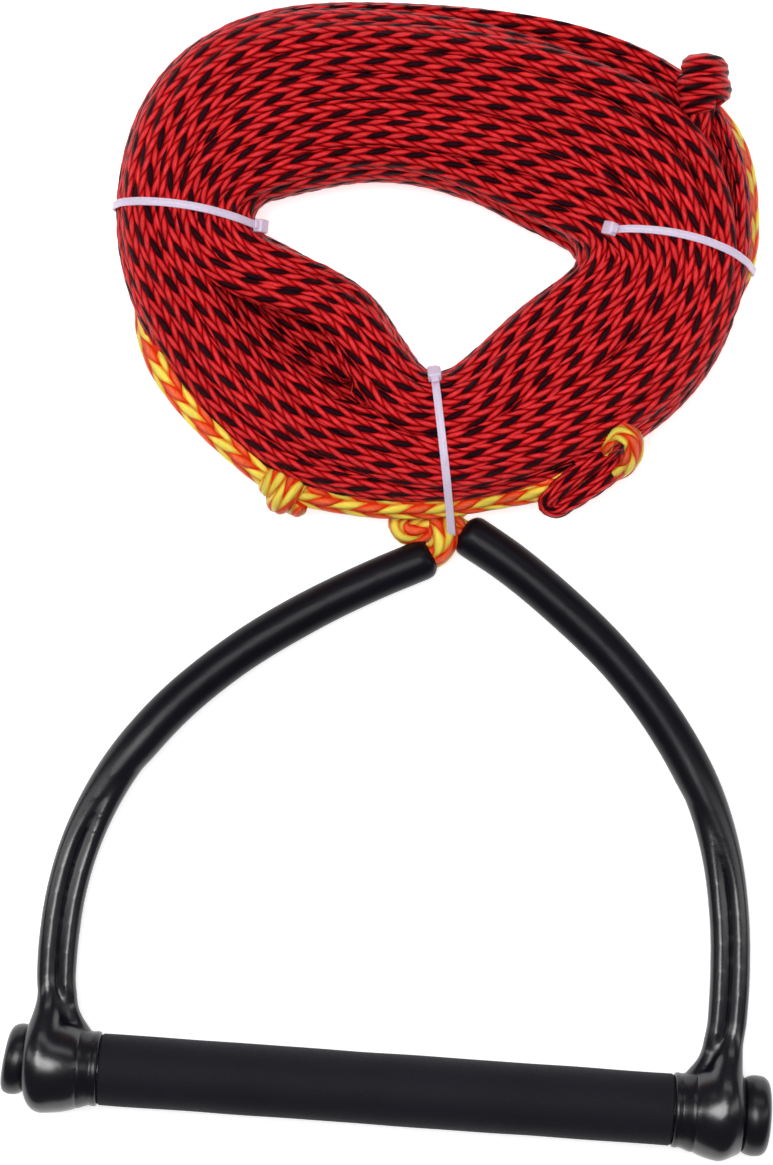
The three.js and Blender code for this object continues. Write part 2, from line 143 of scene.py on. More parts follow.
def edge_stations(outline, marks):
    """Points of one edge at every station: three arcs between the ties, each in equal steps."""
    dense = closed_curve(outline, 24)
    cuts = [int(np.argmin(np.linalg.norm(dense - np.array(m), axis=1))) for m in marks]
    arcs = []
    for a, b in zip(cuts, cuts[1:] + cuts[:1]):
        arc = dense[a:b + 1] if a < b else np.concatenate([dense[a:], dense[:b + 1]])
        arcs.append(resample(arc, ARC_STATIONS + 1)[:-1])
    return np.concatenate(arcs)


def stations():
    """Middle, across direction (inner to outer) and half width of the coil at every station."""
    inner = smoothed_ring(edge_stations(COIL_INNER, [cut[0] for cut in CUTS]), 2)
    outer = edge_stations(COIL_OUTER, [cut[1] for cut in CUTS])
    span = outer - inner
    width = np.linalg.norm(span, axis=1)
    return (inner + outer) / 2, span / width[:, None], width / 2


STATION_MID, STATION_ACROSS, STATION_HALF = stations()
SECTION_A = STATION_HALF - EDGE_ROOM
SECTION_B = np.full(STATIONS, (COIL_HIGH - COIL_LOW) / 2 - EDGE_ROOM + SECTION_SPARE)


def ramp(value, low, high):
    """Smooth step from 0 at low to 1 at high."""
    t = np.clip((value - low) / (high - low), 0, 1)
    return t * t * (3 - 2 * t)


def bell(value, low, high):
    """0 at low and high, and 1 half way between."""
    return np.sin(np.pi * np.clip((value - low) / (high - low), 0, 1)) ** 2


def section_normal(p, a, b):
    """Outward direction of the coil's rounded section through each point (u, v)."""
    q = ROUNDNESS - 1
    u, v = p[..., 0] / a, p[..., 1] / b
    n = np.stack([np.sign(u) * np.abs(u) ** q / a, np.sign(v) * np.abs(v) ** q / b], axis=-1)
    n[..., 1] += np.where(v < 0, -1, 1) * 0.004    # keeps a direction in the section's middle
    return n / np.linalg.norm(n, axis=-1, keepdims=True)


def depth_share(p, a, b):
    """0 in the middle of the section and 1 at its edge."""
    return np.abs(p[..., 0] / a) ** ROUNDNESS + np.abs(p[..., 1] / b) ** ROUNDNESS


def keep_in(p, a, b):
    """Places with those past the section's edge brought back to it."""
    g = depth_share(p, a, b)
    return p * np.where(g > 1, np.maximum(g, 1e-9) ** (-1 / ROUNDNESS), 1.0)[..., None]


def contact_push(p, normal, present):
    """Push for every strand (stations, strands, 2) that clears the strands that it overlaps."""
    d = p[:, None, :, :] - p[:, :, None, :]
    n = normal[:, None, :, :] + normal[:, :, None, :]
    length = np.linalg.norm(n, axis=-1, keepdims=True)
    n = np.where(length > 0.6, n / np.maximum(length, 1e-9), np.array([0.0, 1.0]))
    dn = np.sum(d * n, axis=-1)
    dt = d[..., 0] * n[..., 1] - d[..., 1] * n[..., 0]
    q = np.sqrt((dn / STRAND_THICK) ** 2 + (dt / STRAND_WIDTH) ** 2)
    touching = (q < 1) & (q > 1e-6) & present[:, None, :] & present[:, :, None]
    share = np.where(touching, (1 / np.maximum(q, 0.25) - 1) * 0.5, 0)
    return -(d * share[..., None]).sum(axis=2)


# A hollow between the inner strands and the others opens between the bottom and the left tie.
HOLLOW_FROM, HOLLOW_TO = 57, 82
HOLLOW_MID = (34.0, 21.0)
HOLLOW_SIZE = (19.0, 30.0)


def open_hollow(p, a, station):
    """Pushes the strands out of the hollow."""
    g = bell(station, HOLLOW_FROM, HOLLOW_TO)
    centre = np.stack([HOLLOW_MID[0] - a, np.full(len(a), HOLLOW_MID[1])], axis=1)[:, None]
    radii = (np.array(HOLLOW_SIZE) * np.maximum(g, 1e-3)[:, None])[:, None]
    d = p - centre
    q = np.sqrt(((d / radii) ** 2).sum(-1))
    push = np.where((q < 1) & (g > 0.01)[:, None], (1 / np.maximum(q, 0.3) - 1) * 0.5, 0)
    return p + d * push[..., None]


CONTACT_SHARE = 0.45


def settle(p, a, b, station, present, rounds):
    """Rounds of clearing contacts, the hollow and the section's edge."""
    for _ in range(rounds):
        normal = section_normal(p, a[:, None], b[:, None])
        p = p + CONTACT_SHARE * contact_push(p, normal, present)
        p = open_hollow(p, a, station)
        p = keep_in(p, a[:, None], b[:, None])
    return p


def spiral_fill(a, b, count):
    """Places that fill one section evenly."""
    i = np.arange(count) + 0.5
    r, phi = np.sqrt(i / count), i * math.pi * (3 - math.sqrt(5))
    return np.stack([a * r * np.cos(phi), b * r * np.sin(phi)], axis=1)


# Over these stations the strands to the right climb over the rest, which pass under them.
CROSS_FROM, CROSS_TO = 12, 28
CROSS_STEPS = CROSS_TO - CROSS_FROM
FIRST_ROUNDS, STATION_ROUNDS = 400, 24
DRIFT_KEPT, DRIFT_NEW, DRIFT_SHARE = 0.85, 0.5, 0.25


def march(rng):
    """Every strand's place at every station, carried round the coil one station at a time."""
    everyone = np.ones((1, TURNS), bool)

    def calm(p, i, rounds):
        return settle(p[None], SECTION_A[[i]], SECTION_B[[i]], np.array([i]), everyone, rounds)[0]

    p = calm(spiral_fill(SECTION_A[0], SECTION_B[0], TURNS), 0, FIRST_ROUNDS)
    rows = [p]
    drift = rng.normal(0, 1, (TURNS, 2))
    for i in range(1, STATIONS + 1):
        j, k = i % STATIONS, i - 1
        p = p * np.array([SECTION_A[j] / SECTION_A[k], 1.0])
        if i == CROSS_FROM:
            over = (p[:, 0] > -0.1 * SECTION_A[j]) & (p[:, 1] > -0.35 * SECTION_B[j])
        if CROSS_FROM < i <= CROSS_TO:
            p[over] += np.array([-1.15 * SECTION_A[j] / CROSS_STEPS, 0.1])
            p[~over] += np.array([0.0, -1.2 * SECTION_B[j] / CROSS_STEPS])
        drift = DRIFT_KEPT * drift + DRIFT_NEW * rng.normal(0, 1, (TURNS, 2))
        p = calm(p + DRIFT_SHARE * drift, j, STATION_ROUNDS)
        rows.append(p)
    return np.stack(rows)


def best_match(cost, fixed):
    """Assignment of low cost, by a greedy start and pairwise swaps. fixed = (from, to) is kept."""
    n = len(cost)
    to = -np.ones(n, int)
    to[fixed[0]] = fixed[1]
    free = set(range(n)) - {fixed[1]}
    for i in np.argsort(cost.min(axis=1)):
        if to[i] < 0:
            to[i] = min(free, key=lambda c: cost[i, c])
            free.discard(to[i])
    better = True
    while better:
        better = False
        for i in range(n):
            for k in range(i + 1, n):
                gain = cost[i, to[i]] + cost[k, to[k]] - cost[i, to[k]] - cost[k, to[i]]
                if gain > 1e-9 and fixed[0] not in (i, k):
                    to[i], to[k] = to[k], to[i]
                    better = True
    return to


def cycle_of(to):
    """The cycle that each strand belongs to, and how many cycles there are."""
    label, count = -np.ones(len(to), int), 0
    for i in range(len(to)):
        j = i
        while label[j] < 0:
            label[j] = count
            j = to[j]
        count = label.max() + 1
    return label, count


def one_cycle(to, cost, fixed):
    """Merges the assignment's cycles into one by the cheapest swaps."""
    label, count = cycle_of(to)
    while count > 1:
        best = None
        for i in range(len(to)):
            for k in range(i + 1, len(to)):
                if label[i] != label[k] and fixed[0] not in (i, k):
                    extra = cost[i, to[k]] + cost[k, to[i]] - cost[i, to[i]] - cost[k, to[k]]
                    if best is None or extra < best[0]:
                        best = (extra, i, k)
        _, i, k = best
        to[i], to[k] = to[k], to[i]
        label, count = cycle_of(to)
    return to


BACK_STATIONS = 26        # stations over which the run returns to the places that it started from
FIRST_PLACE, LAST_PLACE = (40, 14), (45, 4)


def main_line_places():
    """(turn, station, 2): the main line's place in each section, in the order that it runs."""
    rows = march(np.random.default_rng(3))
    start, arrive, place = rows[0], rows[-1], rows[:-1].copy()
    first = int(np.argmin(np.linalg.norm(place[START_STATION] - FIRST_PLACE, axis=1)))
    last = int(np.argmin(np.linalg.norm(place[END_STATION] - LAST_PLACE, axis=1)))
    cost = ((arrive[:, None] - start[None]) ** 2).sum(-1)
    to = one_cycle(best_match(cost, (last, first)), cost, (last, first))
    for i in range(STATIONS - BACK_STATIONS, STATIONS):
        place[i] += ramp(i, STATIONS - BACK_STATIONS, STATIONS) * (start[to] - arrive)
    order = [first]
    while len(order) < TURNS:
        order.append(int(to[order[-1]]))
    return place[:, order].transpose(1, 0, 2)


# The handle section's rope, from the bar: it goes twice round under the coil, comes out at the left
# and runs along the near edge to its eye.
NEAR_EDGE = [
    (-134, 353, 8), (-134, 342, 15), (-131.6, 331, 23), (-124.4, 315.6, 29), (-111.2, 300.3, 31),
    (-96.8, 287.5, 31), (-84, 278, 30), (-73.5, 270.5, 27), (-63.6, 265.6, 25), (-52, 263, 24.5),
    (-38.9, 261.7, 24), (-21.7, 260.6, 24), (4.3, 262.6, 24), (20, 266, 24), (33.6, 269.4, 25),
    (48, 272.8, 26.5), (58, 276, 28), (68, 282, 30)]
INNER_LANE, OUTER_LANE = 0.35, 0.80       # shares of the section's half width
LANE_HEIGHT = -0.87                       # share of its half height
PEEK_FROM, PEEK_TO = 22, 33               # stations where the second turn shows at the far right
PEEK_OUT, PEEK_UP = 0.22, 0.62
HIDDEN_FROM = 55                          # station where the hidden turns start
HIDDEN_STEPS = STATIONS + 61


def to_world(places, station):
    """(u, v) places at stations as points from the bar."""
    i = np.asarray(station) % STATIONS
    xy = STATION_MID[i] + STATION_ACROSS[i] * places[..., :1]
    return np.concatenate([xy, COIL_MID + places[..., 1:]], axis=-1)


def hidden_places(step):
    """Places of the handle section's hidden turns, step stations after its start at HIDDEN_FROM."""
    i = (HIDDEN_FROM - step) % STATIONS
    outer = ramp(step, STATIONS - 10, STATIONS + 10)
    peek = bell(i, PEEK_FROM, PEEK_TO) * (step >= STATIONS)
    u = (INNER_LANE + (OUTER_LANE - INNER_LANE) * outer + PEEK_OUT * peek) * SECTION_A[i]
    v = (LANE_HEIGHT + PEEK_UP * peek) * SECTION_B[i]
    return np.stack([u, v], axis=1)


def hidden_lanes():
    """Both hidden turns' places at every station, and where the second one is present."""
    first = (HIDDEN_FROM - np.arange(STATIONS)) % STATIONS
    second = first + STATIONS
    return hidden_places(first), hidden_places(second), second < HIDDEN_STEPS


NEAR_STATIONS = (50, 84)


def near_edge_places():
    """Places of the near edge's rope at the stations that it passes, and which those are."""
    line = resample(NEAR_EDGE, 200)
    places, present = np.zeros((STATIONS, 2)), np.zeros(STATIONS, bool)
    for i in range(STATIONS):
        along = np.array([-STATION_ACROSS[i][1], STATION_ACROSS[i][0]])
        d = line[:, :2] - STATION_MID[i]
        nearest = int(np.argmin(np.abs(d @ along) + 1000 * (d @ STATION_ACROSS[i] < 0)))
        if abs(d[nearest] @ along) < 3 and NEAR_STATIONS[0] < i < NEAR_STATIONS[1]:
            places[i] = (d[nearest] @ STATION_ACROSS[i], line[nearest, 2] - COIL_MID)
            present[i] = True
    return places, present


CHAIN_PULL = 0.35
LAST_ROUNDS = 12          # rounds at the end that clear contacts without smoothing the line


def relaxed_main_line(rounds):
    """The main line as one chain, cleared of itself and of the handle section, and smoothed."""
    turn = main_line_places()
    station = np.arange(STATIONS)
    chain = np.arange(TURNS * STATIONS)
    kept = (chain >= START_STATION) & (chain <= (TURNS - 1) * STATIONS + END_STATION)
    edge, edge_present = near_edge_places()
    first_lane, second_lane, second_present = hidden_lanes()
    fixed = np.stack([first_lane, second_lane, edge], axis=1)
    present = np.concatenate([
        kept.reshape(TURNS, STATIONS).T, np.ones((STATIONS, 1), bool), second_present[:, None],
        edge_present[:, None]], axis=1)
    wide = np.tile(SECTION_A, TURNS)
    grid = np.concatenate([turn.transpose(1, 0, 2), fixed], axis=1)
    for step in range(rounds):
        grid = settle(grid, SECTION_A, SECTION_B, station, present, 1)
        grid[:, TURNS:] = fixed
        x = grid[:, :TURNS].transpose(1, 0, 2).reshape(-1, 2).copy()
        if step < rounds - LAST_ROUNDS:
            x[:, 0] /= wide
            inside = kept[1:-1] & kept[2:] & kept[:-2]
            pull = 0.5 * (x[2:] + x[:-2]) - x[1:-1]
            x[1:-1] += CHAIN_PULL * pull * inside[:, None]
            x[:, 0] *= wide
        grid[:, :TURNS] = x.reshape(TURNS, STATIONS, 2).transpose(1, 0, 2)
    return x[kept], chain[kept] % STATIONS


MAIN_PLACES, MAIN_STATIONS = relaxed_main_line(200)

# ---- braided rope -------------------------------------------------------------------------------
RELIEF = 0.34             # height of a yarn float
SEED_RUN = 600            # distance over which a rope's fibres drift by one noise cell


class Weave:
    """How a rope is braided: columns of yarn floats round it and their spacing along it."""

    def __init__(self, columns, per_column, pitch):
        self.columns, self.per_column, self.pitch = columns, per_column, pitch
        self.around = columns * per_column
        self.across = np.arange(self.around) / per_column + 0.5


MAIN_WEAVE = Weave(10, 2, 8.4)
HANDLE_WEAVE = Weave(6, 4, 10.5)


def hermite(run, points, at):
    """Smooth curve through points, taken at the distances at."""
    slope = np.gradient(points, run, axis=0)
    i = np.clip(np.searchsorted(run, at, side="right") - 1, 0, len(run) - 2)
    h = (run[i + 1] - run[i])[:, None]
    t = ((at - run[i])[:, None]) / h
    return ((2 * t**3 - 3 * t**2 + 1) * points[i] + (t**3 - 2 * t**2 + t) * h * slope[i]
            + (3 * t**2 - 2 * t**3) * points[i + 1] + (t**3 - t**2) * h * slope[i + 1])


def through(points, count, fine=12):
    """count points equally spaced along a smooth curve through a few points."""
    p = np.array(points, float)
    run = run_of(p)
    return resample(hermite(run, p, np.linspace(0, run[-1], fine * len(p))), count)


def unit(v):
    """Vectors of length 1."""
    return v / np.maximum(np.linalg.norm(v, axis=-1, keepdims=True), 1e-12)


def equal_arc_angles(a, b, count):
    """Angles that cut an ellipse of half axes a and b into equal arcs."""
    phi = np.linspace(0, 2 * np.pi, 721)
    edge = np.stack([a * np.cos(phi), b * np.sin(phi)], axis=1)
    run = run_of(edge)
    return np.interp(np.linspace(0, run[-1], count, endpoint=False), run, phi)


def grid_faces(rows, columns, close_rows=True):
    """Quads of a grid whose columns close into rings, and its rows too where close_rows says so."""
    i, j = np.meshgrid(np.arange(rows - (0 if close_rows else 1)), np.arange(columns), indexing="ij")
    below, beside = (i + 1) % rows, (j + 1) % columns
    quads = [i * columns + j, below * columns + j, below * columns + beside, i * columns + beside]
    return np.stack(quads, axis=-1).reshape(-1, 4).tolist()


def end_caps(rows, around):
    """The two end faces of a tube's grid."""
    return [list(range(around)), list(range(rows * around - 1, (rows - 1) * around - 1, -1))]


def shown(name, mesh, material, smooth=True):
    """A mesh put in the scene as an object."""
    mesh.polygons.foreach_set("use_smooth", np.full(len(mesh.polygons), smooth))
    mesh.materials.clear()
    mesh.materials.append(material)
    made = bpy.data.objects.new(name, mesh)
    bpy.context.scene.collection.objects.link(made)
    return made


def mesh_object(name, vertices, faces, material, smooth=True):
    mesh = bpy.data.meshes.new(name)
    mesh.from_pydata(np.asarray(vertices).tolist(), [], faces)
    mesh.update()
    return shown(name, mesh, material, smooth)


def braid_rope(name, path, flat_up, width, thick, material, steps, seed=0.0):
    """A hollow braid swept along path (mm, row frame). flat_up is the direction of its thin side at
    each point. steps gives the distance along the path of every ring."""
    weave = HANDLE_WEAVE if material is HANDLE_ROPE else MAIN_WEAVE
    run = run_of(path)
    centre = hermite(run, path, steps)
    tangent = unit(np.gradient(centre, steps, axis=0))
    up = np.stack([np.interp(steps, run, flat_up[:, k]) for k in range(3)], axis=1)
    up = unit(up - (up * tangent).sum(-1, keepdims=True) * tangent)
    side = np.cross(tangent, up)
    angle = equal_arc_angles(width, thick, weave.around)
    cos, sin = np.cos(angle), np.sin(angle)
    edge_normal = unit(np.stack([cos / width, sin / thick], axis=1))
    column = np.floor(weave.across)
    from_middle = weave.across - column - 0.5
    floats = steps[:, None] / weave.pitch + 0.5 * (column % 2)[None]
    lens = np.cos(np.pi * (floats % 1 - 0.5)) * np.cos(np.pi * from_middle)
    relief = RELIEF * (lens - 0.35 * (np.abs(from_middle) > 0.49))
    x = width / 2 * cos + relief * edge_normal[:, 0]
    y = thick / 2 * sin + relief * edge_normal[:, 1]
    points = centre[:, None] + x[..., None] * side[:, None] + y[..., None] * up[:, None]
    rings, around = len(steps), weave.around
    faces = grid_faces(rings, around, close_rows=False) + end_caps(rings, around)
    made = mesh_object(name, points.reshape(-1, 3) * MM, faces, material)
    drift = run_of(centre) / SEED_RUN
    corner = np.zeros((rings - 1, around, 4, 3))
    for n, (di, dj) in enumerate([(0, 0), (1, 0), (1, 1), (0, 1)]):
        corner[:, :, n, 0] = (steps / weave.pitch)[di:di + rings - 1, None]
        corner[:, :, n, 1] = (np.arange(around) + dj) / weave.per_column + 0.5
        corner[:, :, n, 2] = seed + drift[di:di + rings - 1, None]
    data = np.zeros((len(made.data.loops), 3))
    data[:corner.size // 3] = corner.reshape(-1, 3)
    attribute = made.data.attributes.new("braid", "FLOAT_VECTOR", "CORNER")
    attribute.data.foreach_set("vector", data.astype(np.float32).ravel())
    return made


def ring_steps(run, fine, coarse, is_fine):
    """Distances of the rings along a rope: close together where the rope shows."""
    at, steps = 0.0, [0.0]
    while at < run[-1] - fine:
        at += fine if np.interp(at, run, is_fine) > 0.5 else coarse
        steps.append(min(at, run[-1]))
    if steps[-1] < run[-1]:
        steps.append(run[-1])
    return np.array(steps)


# ---- materials ----------------------------------------------------------------------------------
class Shader:
    """A material and the short calls that wire its nodes."""

    def __init__(self, name):
        self.material = bpy.data.materials.new(name)
        self.material.use_nodes = True
        self.tree = self.material.node_tree
        self.bsdf = self.tree.nodes["Principled BSDF"]

    def node(self, kind, inputs=(), **settings):
        made = self.tree.nodes.new(kind)
        for key, value in settings.items():
            setattr(made, key, value)
        for key, value in dict(inputs).items():
            self.put(value, made.inputs[key])
        return made

    def put(self, value, socket):
        if isinstance(value, bpy.types.NodeSocket):
            self.tree.links.new(value, socket)
        else:
            socket.default_value = (*value, 1.0) if socket.type == "RGBA" else value

    def math(self, operation, *values):
        return self.node("ShaderNodeMath", enumerate(values), operation=operation).outputs[0]

    def plus(self, a, b):
        return self.math("ADD", a, b)

    def minus(self, a, b):
        return self.math("SUBTRACT", a, b)

    def times(self, a, b):
        return self.math("MULTIPLY", a, b)

    def mix(self, factor, a, b):
        made = self.node("ShaderNodeMix", {"Factor": factor, "A": a, "B": b}, data_type="RGBA")
        return made.outputs["Result"]

    def attribute(self, name, output="Fac"):
        return self.node("ShaderNodeAttribute", attribute_name=name).outputs[output]

    def place(self):
        """The place on the piece, in metres."""
        return self.node("ShaderNodeTexCoord").outputs["Object"]

    def product(self, a, b):
        return self.node("ShaderNodeVectorMath", {0: a, 1: b}, operation="MULTIPLY").outputs[0]

    def noise(self, vector, scale, detail=3.0, rough=0.5):
        inputs = {"Vector": vector, "Scale": scale, "Detail": detail, "Roughness": rough}
        return self.node("ShaderNodeTexNoise", inputs).outputs["Fac"]

    def spread(self, value, low, high, to_low=0.0, to_high=1.0):
        return self.node("ShaderNodeMapRange", enumerate((value, low, high, to_low, to_high))).outputs[0]

    def bump(self, height, distance, strength=1.0):
        made = self.node("ShaderNodeBump", {"Height": height, "Strength": strength, "Distance": distance})
        self.put(made.outputs[0], self.bsdf.inputs["Normal"])

    def set(self, **values):
        for key, value in values.items():
            self.put(value, self.bsdf.inputs[key.replace("_", " ")])


FLECK_LONG, FLECK_NARROW = 0.50, 1.75     # half length in floats, and how much narrower than a column
SLANT = 0.80                              # how far a float leans from one side of its column to the other


def fleck(s, shifted, group, y, odd):
    """Lens-shaped marks on every second float of every second column."""
    pair = s.math("FLOORED_MODULO", s.plus(shifted, s.plus(group, 0.5)), 2.0)
    off = s.math("ABSOLUTE", s.math("DIVIDE", s.minus(pair, 1.0), FLECK_LONG))
    wide = s.math("POWER", s.math("ABSOLUTE", s.times(y, FLECK_NARROW)), 2.0)
    inside = s.minus(1.0, s.plus(s.math("POWER", off, 2.0), wide))
    return s.times(s.spread(inside, -0.10, 0.08), s.minus(1.0, odd))


def braid_material(name, yarns, edge, highlight_and_spec_tint, chequer):
    """Hollow braid: slanting floats in columns, each column leaning the other way from its neighbours.
    yarns holds two tones of the plain yarn and two of the marked one, edge is the colour of the painted
    shade in the gaps between floats, and the colour after it is the painted highlight on the plain floats'
    crowns and the rope's specular tint.
    chequer marks every column, not one in two."""
    s = Shader(name)
    along, across, seed = s.node("ShaderNodeSeparateXYZ", {0: s.attribute("braid", "Vector")}).outputs
    column = s.math("FLOOR", across)
    y = s.minus(s.minus(across, column), 0.5)
    odd = s.math("FLOORED_MODULO", column, 2.0)
    lean = s.minus(1.0, s.times(odd, 2.0))
    slant = s.times(s.times(lean, SLANT), y)
    shifted = s.minus(s.plus(along, s.times(odd, 0.5)), slant)
    index = s.math("FLOOR", shifted)
    group = s.math("FLOOR", s.times(column, 0.5))
    x = s.minus(s.minus(shifted, index), 0.5)
    x2 = s.math("POWER", s.math("ABSOLUTE", s.times(x, 2.0)), 2.4)
    y2 = s.math("POWER", s.math("ABSOLUTE", s.times(y, 2.0)), 2.0)
    lens = s.minus(1.0, s.plus(x2, y2))
    height = s.math("POWER", s.math("MAXIMUM", lens, 0.0), 0.7)
    if chequer:
        mark = s.math("FLOORED_MODULO", s.plus(index, group), 2.0)
    else:
        mark = fleck(s, shifted, group, y, odd)
    fibre_y = s.plus(y, s.times(s.times(x, lean), 0.35))
    fibre_at = s.node("ShaderNodeCombineXYZ", enumerate([
        s.plus(s.times(shifted, 1.1), s.times(column, 3.7)),
        s.times(fibre_y, 13.0),
        s.plus(seed, s.times(column, 1.3))])).outputs[0]
    fibre = s.noise(fibre_at, 2.2, 3.0, 0.6)
    patch = s.noise(fibre_at, 0.17, 1.0)
    plain = s.mix(s.spread(fibre, 0.3, 0.7), yarns[0], yarns[1])
    marked_colour = s.mix(s.spread(fibre, 0.3, 0.7), yarns[2], yarns[3])
    # Painted highlight: along each float's crown the plain yarn takes the highlight colour, where the light
    # would catch it.
    crown_highlight = s.times(s.spread(lens, 0.45, 0.95), s.spread(fibre, 0.35, 0.65))
    body = s.mix(mark, s.mix(crown_highlight, plain, highlight_and_spec_tint), marked_colour)
    shade = s.spread(patch, 0.3, 0.7, 0.78, 1.12)
    # Painted shade: the colour darkens to the edge colour in the gaps between floats, and a painted
    # highlight lifts it a little on their middles.
    shaded_body = s.product(body, s.mix(s.spread(lens, -0.2, 0.55), edge, (1.1, 1.1, 1.1)))
    bright = s.product(shaded_body, s.node("ShaderNodeCombineXYZ", {0: shade, 1: shade, 2: shade}).outputs[0])
    s.set(Base_Color=bright, Roughness=s.spread(fibre, 0.25, 0.75, 0.26, 0.40), Specular_IOR_Level=0.26)
    s.set(Specular_Tint=highlight_and_spec_tint)
    relief = s.plus(height, s.times(fibre, 0.35))
    s.bump(relief, 0.0010, 0.9)
    return s.material


# For each rope: its yarn tones, the colour of the painted shade between floats, and the colour of the
# painted highlight on the floats' crowns, which also tints the specular.
MAIN_ROPE = braid_material(
    "main_rope", [(0.62, 0.005, 0.009), (0.98, 0.024, 0.028), (0.0035, 0.002, 0.004), (0.014, 0.007, 0.012)],
    (0.21, 0.13, 0.13), (1.0, 0.085, 0.095), False)
HANDLE_ROPE = braid_material(
    "handle_rope", [(0.86, 0.040, 0.010), (1.0, 0.10, 0.020), (1.0, 0.66, 0.03), (1.0, 0.93, 0.18)],
    (0.92, 0.36, 0.22), (1.0, 0.24, 0.10), True)


def bar_to_row(points):
    """Points measured from the bar, in the row frame."""
    return np.asarray(points, float) + np.array([0, BAR_Y, 0])


EASE_ROUNDS = 30
EASE_BELOW = 0.50         # cosine of the turn over four places below which the line is eased


def eased(path):
    """The line with its tightest turns, at the coil's two inner corners, drawn out wider."""
    number = np.arange(len(path))
    p = np.concatenate([path, number[:, None]], axis=1)
    for step in range(EASE_ROUNDS):
        if step % 10 == 0:
            run = run_of(p[:, :3])
            even = np.linspace(0, run[-1], len(p))
            p = np.stack([np.interp(even, run, p[:, k]) for k in range(4)], axis=1)
        straight = (unit(p[2:-2, :3] - p[:-4, :3]) * unit(p[4:, :3] - p[2:-2, :3])).sum(axis=1)
        tight = np.zeros(len(p))
        tight[2:-2] = ramp(EASE_BELOW - straight, 0.0, 0.2)
        tight = np.convolve(tight, np.ones(3) / 1.5, "same").clip(0, 1)[1:-1, None]
        p[1:-1, :3] += 0.5 * tight * (0.5 * (p[2:, :3] + p[:-2, :3]) - p[1:-1, :3])
    return np.stack([np.interp(number, p[:, 3], p[:, k]) for k in range(3)], axis=1)


def rolled(run):
    """The strands' slow roll from side to side along the rope, from -1 to 1."""
    return 0.6 * np.sin(run / 47.0) + 0.4 * np.sin(run / 20.3 + 1.7)


ROLL = 0.24               # largest slope of that roll
SHOWS_ABOVE = 0.34        # depth share past which the main line gets close rings
MAIN_SIZE, HANDLE_SIZE = (12.6, 7.0), (12.0, 8.0)
MAIN_RINGS, HANDLE_RINGS = 3, 5           # rings in one float's length
# The main line's tow end, from the bar: out of its knot and down into the coil. It takes the place of
# the line's first few places.
TOW_END = [
    (106.6, 468.5, 34.5), (107.7, 464, 34.5), (108.6, 459.6, 34.2), (109.4, 455, 33.6), (109.6, 448, 31.8),
    (108.6, 439, 30.0), (107.0, 429, 28.6), (105.4, 420, 27.6)]
TOW_SKIPPED = 3
TOW_UP = (0.3, 0.1, 0.95)


def make_main_line():
    path = eased(smoothed(bar_to_row(to_world(MAIN_PLACES, MAIN_STATIONS)), 8))
    a, b = SECTION_A[MAIN_STATIONS], SECTION_B[MAIN_STATIONS]
    normal = section_normal(MAIN_PLACES, a, b)
    across = STATION_ACROSS[MAIN_STATIONS]
    up = np.concatenate([across * normal[:, :1], normal[:, 1:]], axis=1)
    run = run_of(path)
    up = unit(up + ROLL * rolled(run)[:, None] * np.cross(unit(np.gradient(path, axis=0)), up))
    shows = (depth_share(MAIN_PLACES, a, b) > SHOWS_ABOVE).astype(float)
    path = np.concatenate([bar_to_row(TOW_END), path[TOW_SKIPPED:]])
    up = np.concatenate([np.tile(TOW_UP, (len(TOW_END), 1)), up[TOW_SKIPPED:]])
    shows = np.concatenate([np.ones(len(TOW_END)), shows[TOW_SKIPPED:]])
    steps = ring_steps(run_of(path), MAIN_WEAVE.pitch / MAIN_RINGS, MAIN_WEAVE.pitch, shows)
    return braid_rope("main_line", path, up, *MAIN_SIZE, MAIN_ROPE, steps), path, up


main_line, main_path, main_up = make_main_line()


def hidden_turn_path():
    """From the apex twice round under the coil, against the stations' order."""
    step = np.arange(HIDDEN_STEPS)
    return to_world(hidden_places(step), HIDDEN_FROM - step)


HANDLE_LEAD = [(5, 257, 8.5), (12, 262, 8.0), (20, 268, 8.0)]


def make_handle_section():
    path = np.concatenate([np.array(HANDLE_LEAD), hidden_turn_path()[2:-1], np.array(NEAR_EDGE)])
    path = smoothed(bar_to_row(resample(path, 420)), 4)
    up = np.tile([0.0, 0.0, 1.0], (len(path), 1))
    up[:, :2] = unit(path[:, :2] - path[:, :2].mean(axis=0)) * 1.2
    pitch = HANDLE_WEAVE.pitch
    steps = ring_steps(run_of(path), pitch / HANDLE_RINGS, pitch, np.ones(len(path)))
    up = unit(up)
    return braid_rope("handle_section", path, up, *HANDLE_SIZE, HANDLE_ROPE, steps, 40.0), path, up


handle_section, handle_path, handle_up = make_handle_section()
for rope, nodes, slot in (
        (main_line, ["mainline_hank"], "main_rope"),
        (handle_section, ["handle_section_rope", "handle_section_end"], "handle_rope")):
    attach(rope, "coil")
    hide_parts(*nodes)


# ---- knots and eyes -----------------------------------------------------------------------------
PIECE_RINGS = 1.4         # spacing of the rings in a short piece of rope
PIECE_POINTS = 60


def short_braid(name, path, up, width, thick, material, seed):
    steps = ring_steps(run_of(path), PIECE_RINGS, PIECE_RINGS, np.ones(len(path)))
    return braid_rope(name, path, up, width, thick, material, steps, seed)


def rope_piece(name, points, width, thick, material, up, seed):
    """A short braid through a few points from the bar, its flat side turned up, or outwards for None."""
    path = bar_to_row(through(points, PIECE_POINTS, 6))
    if up is None:
        outward = path - path.mean(axis=0)
        up = outward + np.array([0, 0, 0.35 * np.abs(outward).max()])
    else:
        up = np.tile(np.array(up, float), (len(path), 1))
    return short_braid(name, path, unit(up), width, thick, material, seed)


